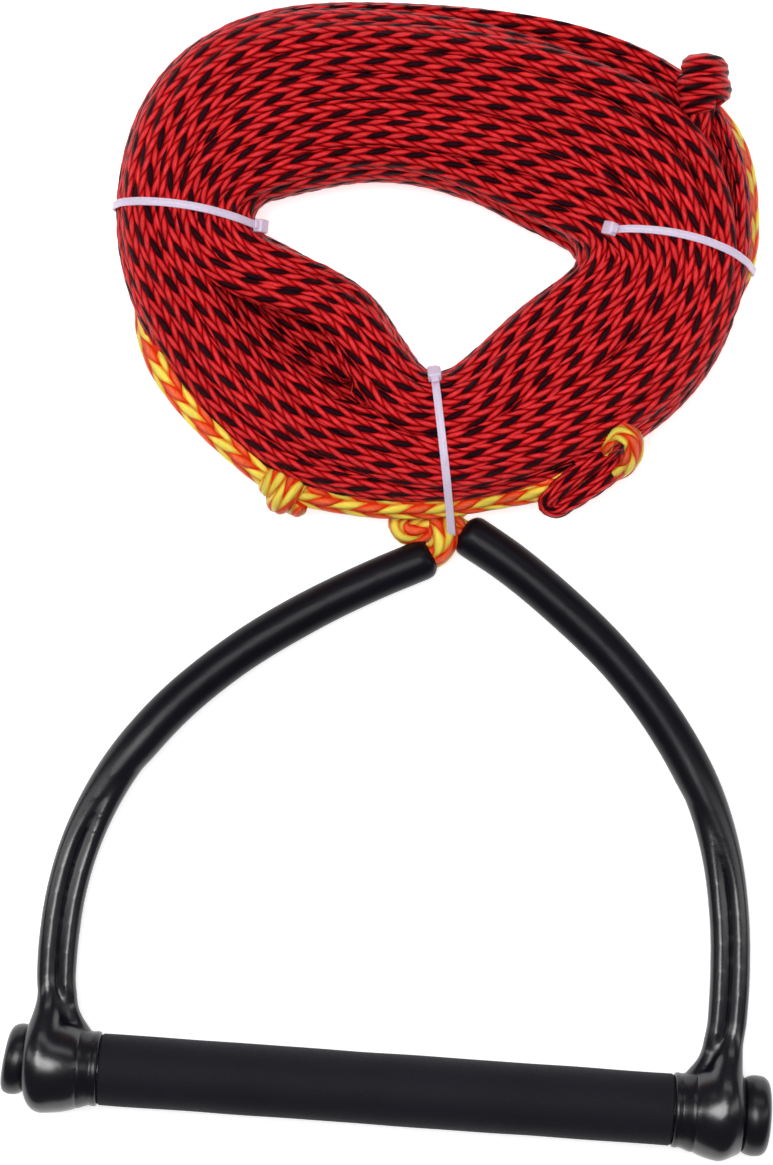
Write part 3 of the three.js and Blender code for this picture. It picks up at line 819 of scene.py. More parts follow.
def wrap_knot(name, at, direction, radius, turns, pitch, width, thick, material, seed):
    """A stopper knot: the rope wound round its own line, with both ends tucked inside."""
    axis = unit(np.array(direction, float))
    side = unit(np.cross(axis, [0, 0, 1.0]))
    top = np.cross(side, axis)
    t = np.linspace(0, 1, 90)
    angle = 2 * np.pi * turns * (t - 0.5) + 0.6
    tuck = ramp(t, 0.0, 0.16) * ramp(1 - t, 0.0, 0.16)
    r = radius * (0.35 + 0.65 * tuck)
    along = pitch * turns * (t - 0.5) * (0.75 + 0.25 * tuck)
    out = np.cos(angle)[:, None] * side + np.sin(angle)[:, None] * top
    path = bar_to_row(np.array(at) + along[:, None] * axis + r[:, None] * out)
    return short_braid(name, path, out, width, thick, material, seed)


def settle_piece(piece, body, slot, *nodes):
    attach(piece, body)
    if nodes:
        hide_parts(*nodes)
    return piece


MAIN_EYE = [
    (84, 296, 25), (80.5, 294.5, 30), (76, 290.5, 33.5), (69.5, 285, 34.5), (62, 278.7, 34),
    (56, 272.2, 31.5), (53.4, 267.6, 28.5), (56.4, 265.8, 27), (63, 269.4, 28.5), (70.5, 274.8, 30.5),
    (77.5, 280.3, 31), (82.5, 286, 28.5), (84.5, 292, 24)]
HANDLE_EYE = [
    (68, 281.5, 26), (75, 281.6, 24.5), (82.5, 283.0, 27), (87.6, 287.0, 33), (89.8, 293.0, 38.5),
    (88.2, 299.0, 41), (83.0, 301.8, 40.5), (78.5, 298.5, 36.5), (76.0, 293, 31), (72, 287.5, 27)]
APEX_FOLD = [
    (14, 256, 9), (8, 256.2, 9.2), (2, 254.0, 10.0), (-4, 251.2, 11.0), (-9, 251.4, 11.0), (-11, 255.2, 9.5),
    (-8, 259.5, 8.0)]
APEX_LEFT = [
    (-12, 235.5, 10.5), (-4, 238.8, 10.3), (2.5, 240.6, 11.0), (7.0, 243.6, 13), (8.6, 248.5, 15),
    (7.8, 254, 14.5), (5.0, 260.0, 11.0)]
APEX_RIGHT = [(30, 245.5, 10.3), (22, 250.5, 10.3), (15, 254.6, 11.2), (10.5, 257.8, 11.6), (6, 261.5, 10.5)]

handle_knot = settle_piece(
    wrap_knot("handle_section_knot_wraps", (-64, 265.0, 25), (1, -0.35, 0), 7.2, 2.1, 8.5, 10.5, 7.0,
              HANDLE_ROPE, 5.0), "coil", "handle_rope", "handle_section_knot")
tow_knot = settle_piece(
    wrap_knot("tow_end_knot_wraps", (109.4, 459.2, 34.2), (0.22, -0.97, 0), 8.2, 2.5, 7.8, 11.4, 7.6,
              MAIN_ROPE, 9.0), "coil", "main_rope", "tow_end_knot")
main_eye = settle_piece(
    rope_piece("mainline_eye_loop", MAIN_EYE, 8.6, 6.6, MAIN_ROPE, (0, 0, 1.0), 3.0),
    "coil", "main_rope", "mainline_eye")
handle_eye = settle_piece(
    rope_piece("handle_section_eye_loop", HANDLE_EYE, 11.4, 6.4, HANDLE_ROPE, None, 7.0),
    "coil", "handle_rope", "handle_section_eye")
apex_rope = rope_piece("apex_rope", APEX_LEFT, 12.4, 8.4, HANDLE_ROPE, (0.15, -0.35, 1.0), 11.0)
apex_fold = settle_piece(
    rope_piece("bridle_knot_fold", APEX_FOLD, 12.4, 8.2, HANDLE_ROPE, (0, -0.5, 1.0), 13.0),
    "coil", "handle_rope", "bridle_knot")
apex_stub = rope_piece("apex_rope_right", APEX_RIGHT, 9.6, 7.0, HANDLE_ROPE, (0.2, 0.2, 1.0), 15.0)
for piece, node in ((apex_rope, "leg_rope_left"), (apex_stub, "leg_rope_right")):
    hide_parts(node)
    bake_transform(piece)

# ---- cable ties ---------------------------------------------------------------------------------
TIE_WIDTH, TIE_THICK = 3.6, 1.2
TIE_LOW = 0.15            # lowest height of a tie
TIE_REACH = 5             # how near a place of a rope lies to a tie that goes round it
STRAND_HALVES = (6.5, 4.0)
EDGE_HALVES = (6.2, 4.2)
BAND_STEPS = 180


def tie_material():
    s = Shader("tie_nylon")
    where = s.place()
    cloud = s.noise(where, 900.0, 3.0)
    s.set(Base_Color=s.mix(cloud, (0.74, 0.60, 0.80), (0.90, 0.79, 0.95)))
    s.set(Roughness=s.spread(cloud, 0.3, 0.7, 0.3, 0.45), Subsurface_Weight=0.2, Subsurface_Scale=0.002)
    s.bump(s.noise(where, 4000.0, 2.0), 0.00005, 0.6)
    return s.material


TIE = tie_material()


def convex_hull(points):
    """Corners of the convex hull of 2-D points, counterclockwise."""
    rows = sorted(map(tuple, points))
    chains = []
    for ordered in (rows, rows[::-1]):
        chain = []
        for p in ordered:
            while len(chain) > 1 and turn_of(chain[-2], chain[-1], p) <= 0:
                chain.pop()
            chain.append(p)
        chains += chain[:-1]
    return np.array(chains)


def turn_of(a, b, c):
    return (b[0] - a[0]) * (c[1] - a[1]) - (b[1] - a[1]) * (c[0] - a[0])


def tie_plane(inner, outer, bow):
    """Middle, across direction (inner to outer), half width and bow of the upright sheet that a tie
    lies in."""
    span = np.array(outer, float) - np.array(inner, float)
    width = float(np.linalg.norm(span))
    middle = (np.array(inner, float) + np.array(outer, float)) / 2
    return bar_to_row([*middle, COIL_MID]), span / width, width / 2, bow


def bowed(plane, u):
    """How far along the coil a tie lies from its straight line at u across."""
    return plane[3] * (1 - (u / plane[2]) ** 2)


def tie_line(plane, extra):
    """The line that a tie drawn tight takes round the strands between its inner and outer end."""
    mid, across, half, _ = plane
    along = np.array([-across[1], across[0]])
    rim = [(bar_to_row(extra) - mid) @ np.array([[*across, 0], [0, 0, 1.0]]).T] if extra else []
    for path, up, halves in ((main_path, main_up, STRAND_HALVES), (handle_path, handle_up, EDGE_HALVES)):
        d = path - mid
        u = d[:, :2] @ across
        near = (np.abs(d[:, :2] @ along - bowed(plane, u)) < TIE_REACH) & (np.abs(u) < half)
        places = np.stack([d[near][:, :2] @ across, d[near][:, 2]], axis=1)
        normal = unit(np.stack([up[near][:, :2] @ across, up[near][:, 2]], axis=1))
        flat = np.stack([-normal[:, 1], normal[:, 0]], axis=1)
        phi = np.linspace(0, 2 * np.pi, 24, endpoint=False)[None, :, None]
        rim.append((places[:, None] + halves[0] * np.cos(phi) * flat[:, None]
                    + halves[1] * np.sin(phi) * normal[:, None]).reshape(-1, 2))
    hull = convex_hull(np.concatenate(rim))
    hull[:, 1] = np.maximum(hull[:, 1], TIE_LOW + TIE_THICK - COIL_MID)
    return smoothed_ring(resample(np.concatenate([hull, hull[:1]]), BAND_STEPS + 1)[:-1], 4)


def loop_band(plane, line):
    """Rings of a flat band along a closed line in a tie's plane, and the plane's directions."""
    mid, across = plane[:2]
    step = np.roll(line, -1, 0) - np.roll(line, 1, 0)
    normal = unit(np.stack([step[:, 1], -step[:, 0]], axis=1))
    w, t, c = TIE_WIDTH / 2, TIE_THICK, 0.3
    section = [(-w + c, 0), (w - c, 0), (w, c), (w, t - c), (w - c, t), (w * 0.55, t), (w * 0.5, t - 0.12),
               (-w * 0.5, t - 0.12), (-w * 0.55, t), (-w + c, t), (-w, t - c), (-w, c)]
    along = np.array([-across[1], across[0], 0.0])
    out = np.array([across[0], across[1], 0.0])
    up = np.array([0, 0, 1.0])
    rings = []
    for side, rise in section:
        flat = line + normal * rise
        shift = (side + bowed(plane, flat[:, :1])) * along
        rings.append(mid + flat[:, :1] * out + flat[:, 1:] * up + shift)
    return np.stack(rings, axis=1), mid, normal, along, out, up


def rounded_block(name, size, at, axes, bevel):
    """A tie's block with rounded edges. axes are its three directions."""
    work = bmesh.new()
    bmesh.ops.create_cube(work, size=1.0)
    for v in work.verts:
        v.co = Vector([v.co[k] * size[k] for k in range(3)])
    bmesh.ops.bevel(work, geom=list(work.edges), offset=bevel, segments=3, affect="EDGES", profile=0.6)
    turn = Matrix([list(a) for a in axes]).transposed()
    for v in work.verts:
        v.co = (turn @ v.co + Vector(list(at))) * MM
    mesh = bpy.data.meshes.new(name)
    work.to_mesh(mesh)
    work.free()
    return shown(name, mesh, TIE)


HEAD_SIZE, HEAD_BEVEL, HEAD_RISE = (6.0, 5.8, 4.6), 0.9, 2.2
TAIL_SIZE, TAIL_BEVEL, TAIL_RISE, TAIL_PAST = (3.4, 3.4, 1.1), 0.25, 2.8, 3.6     # the cut end past the head


def make_tie(place, inner, outer, bow, head_down, extra):
    plane = tie_plane(inner, outer, bow)
    line = tie_line(plane, extra)
    points, mid, normal, along, out, up = loop_band(plane, line)
    band = mesh_object(f"tie_band_{place}", points.reshape(-1, 3) * MM,
                       grid_faces(len(line), points.shape[1]), TIE)
    settle_piece(band, "coil", "tie_nylon", f"cable_tie_{place}")
    n = int(np.argmin(np.linalg.norm(line - [line[:, 0].min(), line[:, 1].max() - head_down], axis=1)))
    centre = mid + line[n][0] * out + line[n][1] * up + bowed(plane, line[n][0]) * along
    face = normal[n][0] * out + normal[n][1] * up
    run = np.cross(along, face)
    axes = (along, run, face)
    head = rounded_block(f"tie_head_{place}", HEAD_SIZE, centre + face * HEAD_RISE, axes, HEAD_BEVEL)
    tail = rounded_block(f"tie_tail_{place}", TAIL_SIZE, centre + face * TAIL_RISE + run * TAIL_PAST, axes,
                         TAIL_BEVEL)
    return [band, settle_piece(head, "coil", "tie_nylon"), settle_piece(tail, "coil", "tie_nylon")]


# Inner and outer end from the bar, bow along the coil, the head's drop below the band's top, and
# extra points that the tie holds.
TIE_PLACES = {
    "left": ((-84, 382.0), (-160, 385.8), -4.0, 15, []),
    "right": ((75, 390.6), (150, 373.2), 6.5, 1.5, []),
    "bottom": ((-2.5, 328), (13.2, 244), 0.0, 3, [(9, 251.6, 17), (16, 251.8, 17), (12, 252, 8)])}
tie_pieces = [piece for place, how in TIE_PLACES.items() for piece in make_tie(place, *how)]

# ---- handle -------------------------------------------------------------------------------------
# Each arm's centre line in the flat, from the bar: its neck, its bow and its tip.
ARM_ROUTES = {
    "left": [(-151.4, 30), (-151.8, 56), (-150.4, 76), (-144.6, 103), (-132, 132), (-112.4, 160),
             (-85, 187), (-50.3, 212), (-22, 228.3), (5.3, 242)],
    "right": [(151, 30), (151.2, 60), (149.4, 86), (144.4, 113), (133, 143.5), (115.6, 171.4),
              (90.7, 200), (62, 224.4), (40, 240.2), (15.7, 254.3)]}
NECK_Y = 30.0             # from the bar's axis to bridle_flex
ARM_DROP = math.radians(3.1)              # how far the arms slope down to the coil
VOXEL, QUICK_VOXEL = 0.65, 1.3            # grain of the arms' skin
SKIN_ROUNDS, QUICK_SKIN_ROUNDS = 32, 8
BALL_ROUNDS = 50                          # further rounds that smooth the ball
SATIN_FROM, SATIN_TO = 95, 175            # from the bar, where the gloss gives way to satin


def rest_attribute(piece):
    """Keeps each point's place at rest, in millimetres, for the patterns of its material."""
    co = np.zeros(len(piece.data.vertices) * 3, np.float32)
    piece.data.vertices.foreach_get("co", co)
    attribute = piece.data.attributes.new("rest", "FLOAT_VECTOR", "POINT")
    attribute.data.foreach_set("vector", co / MM)
    return co.reshape(-1, 3) / MM


def dipped_material():
    """Glossy dip on the boots and lower legs that turns satin up the arms."""
    s = Shader("dipped_vinyl")
    where = s.attribute("rest", "Vector")
    satin = s.attribute("satin")
    fine = s.noise(where, 0.9, 4.0, 0.6)
    broad = s.noise(where, 0.06, 3.0)
    s.set(Base_Color=s.mix(broad, (0.0032, 0.0029, 0.0052), (0.0070, 0.0064, 0.0108)))
    gloss = s.spread(satin, 0.0, 1.0, 0.24, 0.36)
    s.set(Roughness=s.plus(gloss, s.spread(fine, 0.3, 0.7, -0.02, 0.03)))
    groove = s.attribute("groove")
    s.set(Specular_IOR_Level=s.times(s.spread(satin, 0.0, 1.0, 0.72, 0.15),
                                    s.spread(groove, 0.0, 1.0, 1.0, 0.05)))
    dents = s.plus(s.noise(where, 0.09, 1.0), s.times(fine, 0.03))
    s.bump(dents, 0.0003, 0.2)
    return s.material


def foam_material():
    s = Shader("grip_foam")
    where = s.place()
    cells = s.node("ShaderNodeTexVoronoi", {"Vector": where, "Scale": 1500.0})
    grain = s.noise(where, 2600.0, 3.0, 0.6)
    cloud = s.noise(where, 25.0, 3.0)
    s.set(Base_Color=s.mix(cloud, (0.0068, 0.0062, 0.0104), (0.0112, 0.0103, 0.0166)))
    s.set(Roughness=s.spread(grain, 0.3, 0.7, 0.62, 0.82), Specular_IOR_Level=0.22)
    s.bump(s.plus(cells.outputs["Distance"], grain), 0.00015, 0.55)
    return s.material


def moulded_material(name, dark, light, rough):
    s = Shader(name)
    where = s.place()
    cloud = s.noise(where, 60.0, 4.0)
    fine = s.noise(where, 1400.0, 3.0)
    s.set(Base_Color=s.mix(cloud, dark, light))
    s.set(Roughness=s.spread(fine, 0.3, 0.7, rough - 0.02, rough + 0.04), Specular_IOR_Level=0.42)
    s.bump(s.plus(cloud, s.times(fine, 0.02)), 0.0003, 0.3)
    return s.material


def brushed_metal():
    s = Shader("bar_aluminium")
    where = s.place()
    stretched = s.node("ShaderNodeMapping", {"Vector": where, "Scale": (40.0, 1500.0, 1500.0)})
    lines = s.noise(stretched.outputs[0], 1.0, 3.0)
    s.set(Base_Color=s.mix(lines, (0.62, 0.63, 0.65), (0.78, 0.79, 0.81)), Metallic=1.0)
    s.set(Roughness=s.spread(lines, 0.3, 0.7, 0.25, 0.4))
    s.bump(lines, 0.00004, 0.5)
    return s.material


VINYL = dipped_material()
FOAM = foam_material()
PLASTIC = moulded_material("plug_plastic", (0.004, 0.0038, 0.006), (0.0080, 0.0074, 0.0115), 0.30)
RUBBER = moulded_material("collar_rubber", (0.0035, 0.0033, 0.0052), (0.0072, 0.0066, 0.0108), 0.28)

LATHE_STEPS = 96


def revolve(name, profile, side, material, wobble):
    """Solid of revolution about the bar, from [distance along the bar, radius]. side mirrors it."""
    sparse = len(profile) < 60
    dense = through(profile, 9 * len(profile), 14) if sparse else np.array(profile, float)
    phi = np.linspace(0, 2 * np.pi, LATHE_STEPS, endpoint=False)
    x, r = dense[:, :1], dense[:, 1:]
    soft = wobble * (np.sin(3 * phi + x / 9) + np.sin(5 * phi - x / 23) + np.sin(x / 6.1))
    r = np.maximum(r + soft * (r > 1), 0.001)
    points = np.stack([side * np.broadcast_to(x, r.shape), r * np.cos(phi), r * np.sin(phi)], axis=-1)
    points = points + np.array([0, BAR_Y, BAR_Z])
    faces = grid_faces(len(dense), LATHE_STEPS, close_rows=False)
    if side > 0:
        faces = [face[::-1] for face in faces]
    return mesh_object(name, points.reshape(-1, 3) * MM, faces, material)


def tube_part(path, up, radius_side, radius_up, around=28):
    """Closed tube for the voxel union. path is in the flat arm frame."""
    path, up = np.asarray(path, float), np.broadcast_to(np.asarray(up, float), np.shape(path))
    tangent = unit(np.gradient(path, axis=0))
    up = unit(up - (up * tangent).sum(-1, keepdims=True) * tangent)
    side = np.cross(tangent, up)
    phi = np.linspace(0, 2 * np.pi, around, endpoint=False)
    cos, sin = np.cos(phi)[None, :, None], np.sin(phi)[None, :, None]
    ra = np.broadcast_to(radius_side, len(path))[:, None, None]
    rb = np.broadcast_to(radius_up, len(path))[:, None, None]
    points = path[:, None] + ra * cos * side[:, None] + rb * sin * up[:, None]
    faces = grid_faces(len(path), around, close_rows=False) + end_caps(len(path), around)
    return points.reshape(-1, 3), faces


def arm_line(side):
    """An arm's centre line in the flat, from the bar's axis through the neck to the tip."""
    x0 = ARM_ROUTES[side][0][0]
    route = [(x0 * 0.994, 0.0), (x0 * 0.998, 15.0)] + ARM_ROUTES[side]
    return through([(x, y, 0.0) for x, y in route], 260, 75)


def sloped(points):
    """The flat arm frame, laid down by the arms' slope about the flex line."""
    p = np.array(points, float)
    y, z = p[:, 1] - NECK_Y, p[:, 2].copy()
    past = y > 0
    c, s = math.cos(-ARM_DROP), math.sin(-ARM_DROP)
    p[:, 1] = np.where(past, NECK_Y + y * c - z * s, p[:, 1])
    p[:, 2] = np.where(past, y * s + z * c, z)
    return p + np.array([0, BAR_Y, BAR_Z])


def rounded_end(run, depth):
    """Share of its radius that a tube keeps as it closes over its last depth."""
    t = np.clip((run - (run[-1] - depth)) / depth, 0, 1)
    return np.sqrt(np.clip(1 - 0.92 * t**2.6, 0.02, 1))


# The dipped ball round the bar: [distance along the bar, radius].
BALL_PROFILES = {
    "left": [(136.8, 2), (136.8, 17.8), (138, 18.4), (141, 19.5), (145, 20.5), (150, 21.2), (154.5, 21.1),
             (158, 19.6), (160, 17.6), (161, 15.8), (161.2, 14.6), (161.2, 2)],
    "right": [(136.8, 2), (136.8, 17.5), (138, 17.9), (140.5, 19.0), (144, 20.4), (149, 21.4), (153, 21.1),
              (157, 19.2), (160, 17.7), (161.2, 17.2), (161.2, 2)]}
BALL_STEPS = 64


def ball_part(side, sign):
    p = resample(np.array(BALL_PROFILES[side], float), 60)
    phi = np.linspace(0, 2 * np.pi, BALL_STEPS, endpoint=False)
    x = np.repeat(sign * p[:, :1], BALL_STEPS, 1)
    points = np.stack([x, p[:, 1:] * np.cos(phi), p[:, 1:] * np.sin(phi)], axis=-1)
    faces = grid_faces(len(p), BALL_STEPS, close_rows=False) + end_caps(len(p), BALL_STEPS)
    return points.reshape(-1, 3), faces


# Where the two strands run together into the sleeve, and their radii before and after it.
MERGE_FROM, MERGE_TO = 96, 158
OUTER_RADIUS, SLEEVE_RADIUS = 5.1, 9.35
INNER_RADIUS, INNER_GROWTH = 4.8, 2.9
OUTER_OFFSET, INNER_OFFSET, INNER_BURIED = 3.9, 4.5, 0.8      # from the arm's centre line
INNER_UNTIL = 186         # the inner strand ends inside the sleeve
JOIN_Y = 40.0             # from the bar, where the lobes of the arm meet the strands over the ball
FRONT_SHIFT = {"left": 0.6, "right": -2.6}                    # the front strands differ from side to side
# Webs from the ball to the strands: [along the bar past the neck, from the bar], half width and height.
NECK_ROUTE = [(-0.5, 0), (-0.5, 12), (-0.5, 18), (-0.6, 25), (-0.6, 34), (-0.4, 46)]
NECK_SIZES = [13, 12.2, 10.2, 8.0, 6.0, 3.0], [12, 9.6, 6.8, 5.0, 3.4, 1.6]
SIDE_ROUTE = [(137, 7), (139.8, 14), (142.6, 20.5), (145.4, 29), (147.2, 46)]
SIDE_SIZES = [8.5, 7.0, 5.2, 3.8, 2.0], [8.5, 7.0, 5.0, 3.4, 2.0]


def arm_parts(side):
    """Overlapping solids of one arm in the flat frame: strands, ball, webs and folds."""
    sign = -1 if side == "left" else 1
    line = arm_line(side)
    outward = sign * np.cross(unit(np.gradient(line, axis=0)), [0, 0, 1.0])
    run, y = run_of(line), line[:, 1]
    merge = ramp(run, MERGE_FROM, MERGE_TO)
    waist = 1 - 0.03 * bell(run, 16, 60)
    flare = 0.6 * ramp(run, 200, run[-1]) if side == "right" else 0
    outer_r = (OUTER_RADIUS + (SLEEVE_RADIUS - OUTER_RADIUS) * merge) * waist + flare
    inner_r = (INNER_RADIUS + INNER_GROWTH * merge) * waist
    swell = 0.16 * np.sin(run / 17.0) + 0.08 * np.sin(run / 9.3 + 1)
    end = rounded_end(run, 6.0)
    neck_x = abs(line[0][0])
    outer = line + outward * (OUTER_OFFSET * (1 - merge))[:, None]
    inner = line - outward * (INNER_OFFSET * (1 - merge) + INNER_BURIED * merge)[:, None]
    return [
        lobe_and_strand(sign, neck_x, outer, (outer_r + 0.4 * swell * merge) * end,
                        (outer_r + 0.2 * swell) * end, y > JOIN_Y, FRONT_STRAND, FRONT_SHIFT[side]),
        lobe_and_strand(sign, neck_x, inner, inner_r, inner_r * (1.04 - 0.04 * merge),
                        (y > JOIN_Y) & (run < INNER_UNTIL), BACK_STRAND, 0.0),
        ball_part(side, sign),
        neck_web(sign, [(neck_x + x, y) for x, y in NECK_ROUTE], *NECK_SIZES),
        neck_web(sign, SIDE_ROUTE, *SIDE_SIZES)] + [tube_part(*ridge) for ridge in fold_ridges(sign)]


def neck_web(sign, route, wide, high):
    """A tapering fillet in the neck's plane."""
    path = through([(x, y, 0.0) for x, y in route], 40) * np.array([sign, 1, 1])
    run = run_of(np.array(route, float))
    at, knots = np.linspace(0, 1, 40), run / run[-1]
    return tube_part(path, (0, 0, 1.0), np.interp(at, knots, wide), np.interp(at, knots, high))


# Strands over the ball: [past the neck's middle, from the bar's axis, up, half width, half height].
FRONT_STRAND = [
    (3.8, 31, 1.0, 5.2, 5.3), (3.8, 24.5, 3.4, 6.0, 5.9), (4.0, 18.0, 7.6, 7.1, 6.4),
    (4.4, 11.5, 11.8, 7.6, 6.8), (4.6, 4.0, 14.3, 7.8, 7.0), (4.4, -4.0, 14.2, 7.6, 6.8),
    (3.6, -12.0, 10.6, 7.0, 6.2), (2.6, -17.0, 3.0, 6.0, 5.0)]
BACK_STRAND = [
    (-4.6, 31, -0.6, 4.8, 4.8), (-5.0, 24.5, -2.8, 5.2, 5.0), (-5.7, 18.5, -7.2, 5.4, 5.0),
    (-6.0, 12, -11.4, 5.4, 5.0), (-6.0, 3, -14.0, 5.0, 4.8), (-5.4, -8, -12.4, 4.6, 4.4)]


def lobe_and_strand(sign, neck_x, lobe, side, high, keep, rows, shift):
    """One lobe of an arm that runs on as a strand over the ball, in front of it or behind it. The lobe
    stays where keep says, and shift moves the strand's low end along the bar."""
    rows = np.array(rows)
    low = ramp(-rows[:, 1], -30, -12)
    strand = np.stack([sign * (neck_x + rows[:, 0] + shift * low), rows[:, 1], rows[:, 2]], axis=1)
    shape = np.concatenate([
        np.concatenate([lobe, side[:, None], high[:, None]], axis=1)[keep][::-1],
        np.concatenate([strand, rows[:, 3:]], axis=1)])
    run = run_of(shape[:, :3])
    shape = smoothed(hermite(run, shape, np.linspace(0, run[-1], 320)), 3)
    path = shape[:, :3]
    up = np.cross(unit(np.gradient(path, axis=0)), [1.0, 0, 0])
    return tube_part(path, up, shape[:, 3], shape[:, 4])


# Small folds in the dip: [along the bar, from angle, to angle, from the bar's axis, thickness].
FOLDS = [(138.6, 0.9, 2.0, 18.4, 0.5), (141.6, 1.2, 1.9, 19.5, 0.4), (138.9, 4.2, 5.4, 18.4, 0.5)]


def fold_ridges(sign):
    ridges = []
    for x, phi0, phi1, lift, thick in FOLDS:
        phi = np.linspace(phi0, phi1, 30)
        wave = 0.9 * np.sin(2.3 * phi + x)
        path = np.stack([sign * (x + wave), lift * np.cos(phi), lift * np.sin(phi)], axis=1)
        taper = thick * np.sin(np.linspace(0.15, np.pi - 0.15, 30))
        ridges.append((path, [1.0, 0, 0], taper * 1.5, taper, 12))
    return ridges


def evaluated_copy(made):
    graph = bpy.context.evaluated_depsgraph_get()
    return bpy.data.meshes.new_from_object(made.evaluated_get(graph))


def joined(name, parts):
    """One mesh of overlapping closed parts, laid down along the arms' slope."""
    vertices, faces, base = [], [], 0
    for points, part_faces in parts:
        vertices.append(points)
        faces += [[base + k for k in face] for face in part_faces]
        base += len(points)
    mesh = bpy.data.meshes.new(name)
    mesh.from_pydata((sloped(np.concatenate(vertices)) * MM).tolist(), [], faces)
    work = bmesh.new()
    work.from_mesh(mesh)
    bmesh.ops.recalc_face_normals(work, faces=work.faces)
    work.to_mesh(mesh)
    work.free()
    return mesh


def voxel_union(name, parts, voxel, smooth_rounds):
    """One skin round the parts, by a voxel remesh, smoothed, and smoothed further round the ball."""
    rough = shown(name + "_rough", joined(name + "_parts", parts), VINYL)
    remesh = rough.modifiers.new("skin", "REMESH")
    remesh.mode, remesh.voxel_size = "VOXEL", voxel * MM
    soften = rough.modifiers.new("soften", "SMOOTH")
    soften.factor, soften.iterations = 0.5, smooth_rounds
    settled = evaluated_copy(rough)
    rough.modifiers.clear()
    rough.data = settled
    ball = rough.vertex_groups.new(name="ball")
    for vertex in settled.vertices:
        near = 1 - float(ramp(vertex.co.y / MM - BAR_Y, 26, 46))
        if near > 0:
            ball.add([vertex.index], near, "REPLACE")
    blend = rough.modifiers.new("blend", "SMOOTH")
    blend.factor, blend.iterations, blend.vertex_group = 0.5, BALL_ROUNDS, "ball"
    final = evaluated_copy(rough)
    bpy.data.objects.remove(rough)
    return shown(name, final, VINYL)


GROOVE_RANGE = (0.006, 0.034)             # hollowness over which a crease loses its highlight
GROOVE_ROUNDS = 14


def hollowness(mesh, places, spacing):
    """How hollow the skin is at each point, in 1/mm: how far the point lies below its neighbours' mean,
    over the square of their spacing."""
    edges = np.empty(2 * len(mesh.edges), np.int32)
    mesh.edges.foreach_get("vertices", edges)
    edges = np.concatenate([edges.reshape(-1, 2), edges.reshape(-1, 2)[:, ::-1]])
    count = np.bincount(edges[:, 0], minlength=len(places))[:, None]
    normals = np.empty(3 * len(places))
    mesh.vertices.foreach_get("normal", normals)

    def mean(values):
        total = np.stack([np.bincount(edges[:, 0], values[edges[:, 1], k], len(places))
                          for k in range(values.shape[1])], axis=1)
        return total / count

    below = ((mean(places) - places) * normals.reshape(-1, 3)).sum(axis=1, keepdims=True)
    for _ in range(GROOVE_ROUNDS):
        below = 0.5 * (below + mean(below))
    return below[:, 0] / spacing ** 2


def make_arm(side):
    voxel, rounds = ((VOXEL, SKIN_ROUNDS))
    skin = voxel_union(f"arm_skin_{side}", arm_parts(side), voxel, rounds)
    rest = rest_attribute(skin)
    for name, values in (("satin", ramp(rest[:, 1] - BAR_Y, SATIN_FROM, SATIN_TO)),
                         ("groove", ramp(hollowness(skin.data, rest, voxel), *GROOVE_RANGE))):
        attribute = skin.data.attributes.new(name, "FLOAT", "POINT")
        attribute.data.foreach_set("value", values.astype(np.float32))
    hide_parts(f"boot_{side}", f"leg_cover_{side}", f"arm_sleeve_{side}")
    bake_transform(skin)


GRIP_HALF, GRIP_RADIUS, GRIP_RIM, GRIP_BORE = 128.9, 16.05, 1.2, 13.0
# Half profiles along the bar: [distance along the bar, radius].
PLUG_PROFILES = {
    "left": [(150, 0.01), (150, 10.4), (160.9, 10.6), (161.4, 14.2), (162.4, 15.0), (164.2, 15.7),
             (166.2, 15.9), (168.4, 15.6), (170.2, 14.6), (171.3, 12.6), (171.7, 9.5), (171.5, 5),
             (171.4, 0.01)],
    "right": [(150, 0.01), (150, 10.4), (160.9, 10.6), (161.4, 16.8), (162.4, 17.3), (164.4, 17.9),
              (167, 18.0), (169.6, 17.5), (171.4, 16.0), (172.3, 13.4), (172.7, 9), (172.8, 0.01)]}
COLLAR_PROFILE = [
    (129.2, 13.0), (129.25, 16.0), (129.6, 16.5), (130.4, 16.75), (131.6, 16.7), (132.6, 16.55),
    (134.0, 16.9), (135.6, 17.5), (137.4, 18.1), (138.6, 18.2), (138.8, 13.0)]
CAP_LEAN, CAP_LIFT = 0.11, 2.0            # of the left cap


def grip_profile():
    turn = np.linspace(0, np.pi / 2, 6)
    left = [(-GRIP_HALF + GRIP_RIM - GRIP_RIM * math.cos(a), GRIP_RADIUS - GRIP_RIM + GRIP_RIM * math.sin(a))
            for a in turn]
    right = [(-x, r) for x, r in reversed(left)]
    middle = [(x, GRIP_RADIUS + 0.12 * math.sin(x / 17.0) * math.cos(x / 41.0))
              for x in np.linspace(-120, 120, 90)]
    return [(-GRIP_HALF, GRIP_BORE)] + left + middle + right + [(GRIP_HALF, GRIP_BORE)]


def make_bar_pieces():
    grip = revolve("foam_grip", grip_profile(), 1, FOAM, 0.035)
    settle_piece(grip, "bar", "grip_foam", "grip_sleeve")
    for side, sign in (("left", -1), ("right", 1)):
        plug = revolve(f"end_cap_{side}", PLUG_PROFILES[side], sign, PLASTIC, 0.02)
        if side == "left":
            tilt_cap(plug, CAP_LEAN, CAP_LIFT)
        settle_piece(plug, "bar", "plug_plastic", f"end_plug_{side}")
        ring = revolve(f"grip_collar_{side}", COLLAR_PROFILE, sign, RUBBER, 0.05)
        settle_piece(ring, "bar", "collar_rubber", f"collar_{side}")


def tilt_cap(cap, lean, lift):
    """The left cap sits askew: it leans over and stands a little off the bar's axis."""
    for vertex in cap.data.vertices:
        rise = vertex.co.y - BAR_Y * MM
        vertex.co.x += lean * rise
        vertex.co.y += lift * MM


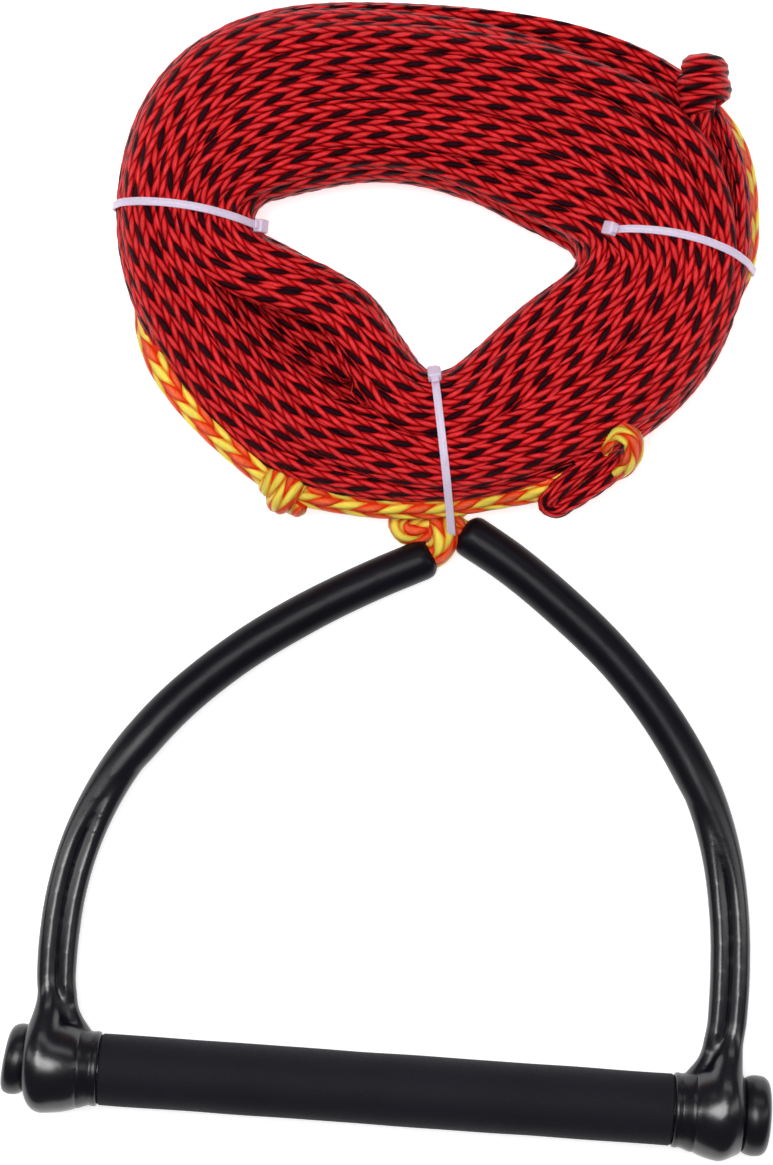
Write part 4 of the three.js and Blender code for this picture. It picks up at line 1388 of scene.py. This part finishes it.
def eye_rope_material():
    """Rope inside the boots, seen by nobody: its yarns follow its place on the bar."""
    s = Shader("eye_rope")
    wave = s.node("ShaderNodeTexWave", {"Vector": s.place(), "Scale": 160.0, "Distortion": 2.0})
    yarn = wave.outputs["Fac"]
    s.set(Base_Color=s.mix(yarn, (0.8, 0.05, 0.012), (0.95, 0.6, 0.03)), Roughness=0.5)
    s.bump(yarn, 0.0004)
    return s.material


def repaint(node, material):
    """Gives a CAD solid that stays in the picture a material of its own."""
    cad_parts[node].data.materials.clear()
    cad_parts[node].data.materials.append(material)


make_bar_pieces()
EYE_ROPE = eye_rope_material()
repaint("bar_tube", brushed_metal())
for side in ("left", "right"):
    make_arm(side)
    repaint(f"eye_rope_{side}", EYE_ROPE)


# ---- stage --------------------------------------------------------------------------------------
def area_light(name, place, aim, size, power):
    data = bpy.data.lights.new(name, "AREA")
    data.shape, data.size, data.size_y = "RECTANGLE", size[0], size[1]
    data.energy = power
    light = bpy.data.objects.new(name, data)
    light.location = Vector(place)
    light.rotation_mode = "QUATERNION"
    light.rotation_quaternion = (Vector(place) - Vector(aim)).to_track_quat("Z", "Y")
    bpy.context.scene.collection.objects.link(light)


area_light("key", (-0.22, 0.25, 1.8), (-0.02, 0.1, 0), (0.7, 0.9), 19)
area_light("left", (-1.15, 0.2, 1.0), (0, 0.1, 0), (0.4, 1.5), 3.5)
area_light("right", (1.15, 0.2, 1.0), (0, 0.1, 0), (0.4, 1.5), 3.5)
area_light("top", (0.15, 1.3, 1.2), (0, 0.15, 0), (1.5, 0.4), 3)

world = bpy.data.worlds.new("studio")
world.use_nodes = True
world.node_tree.nodes["Background"].inputs["Color"].default_value = (0.95, 0.96, 1.0, 1)
world.node_tree.nodes["Background"].inputs["Strength"].default_value = 0.10
bpy.context.scene.world = world
bpy.context.scene.view_settings.view_transform = "Standard"


def make_floor():
    shader = Shader("floor")
    shader.set(Base_Color=(0.9, 0.9, 0.91), Roughness=0.9, Specular_IOR_Level=0.1)
    shader.set(Emission_Color=(1, 1, 1), Emission_Strength=0.62)
    corners = [(-3, -3, 0), (3, -3, 0), (3, 3, 0), (-3, 3, 0)]
    floor = mesh_object("floor", corners, [(0, 1, 2, 3)], shader.material, smooth=False)


make_floor()
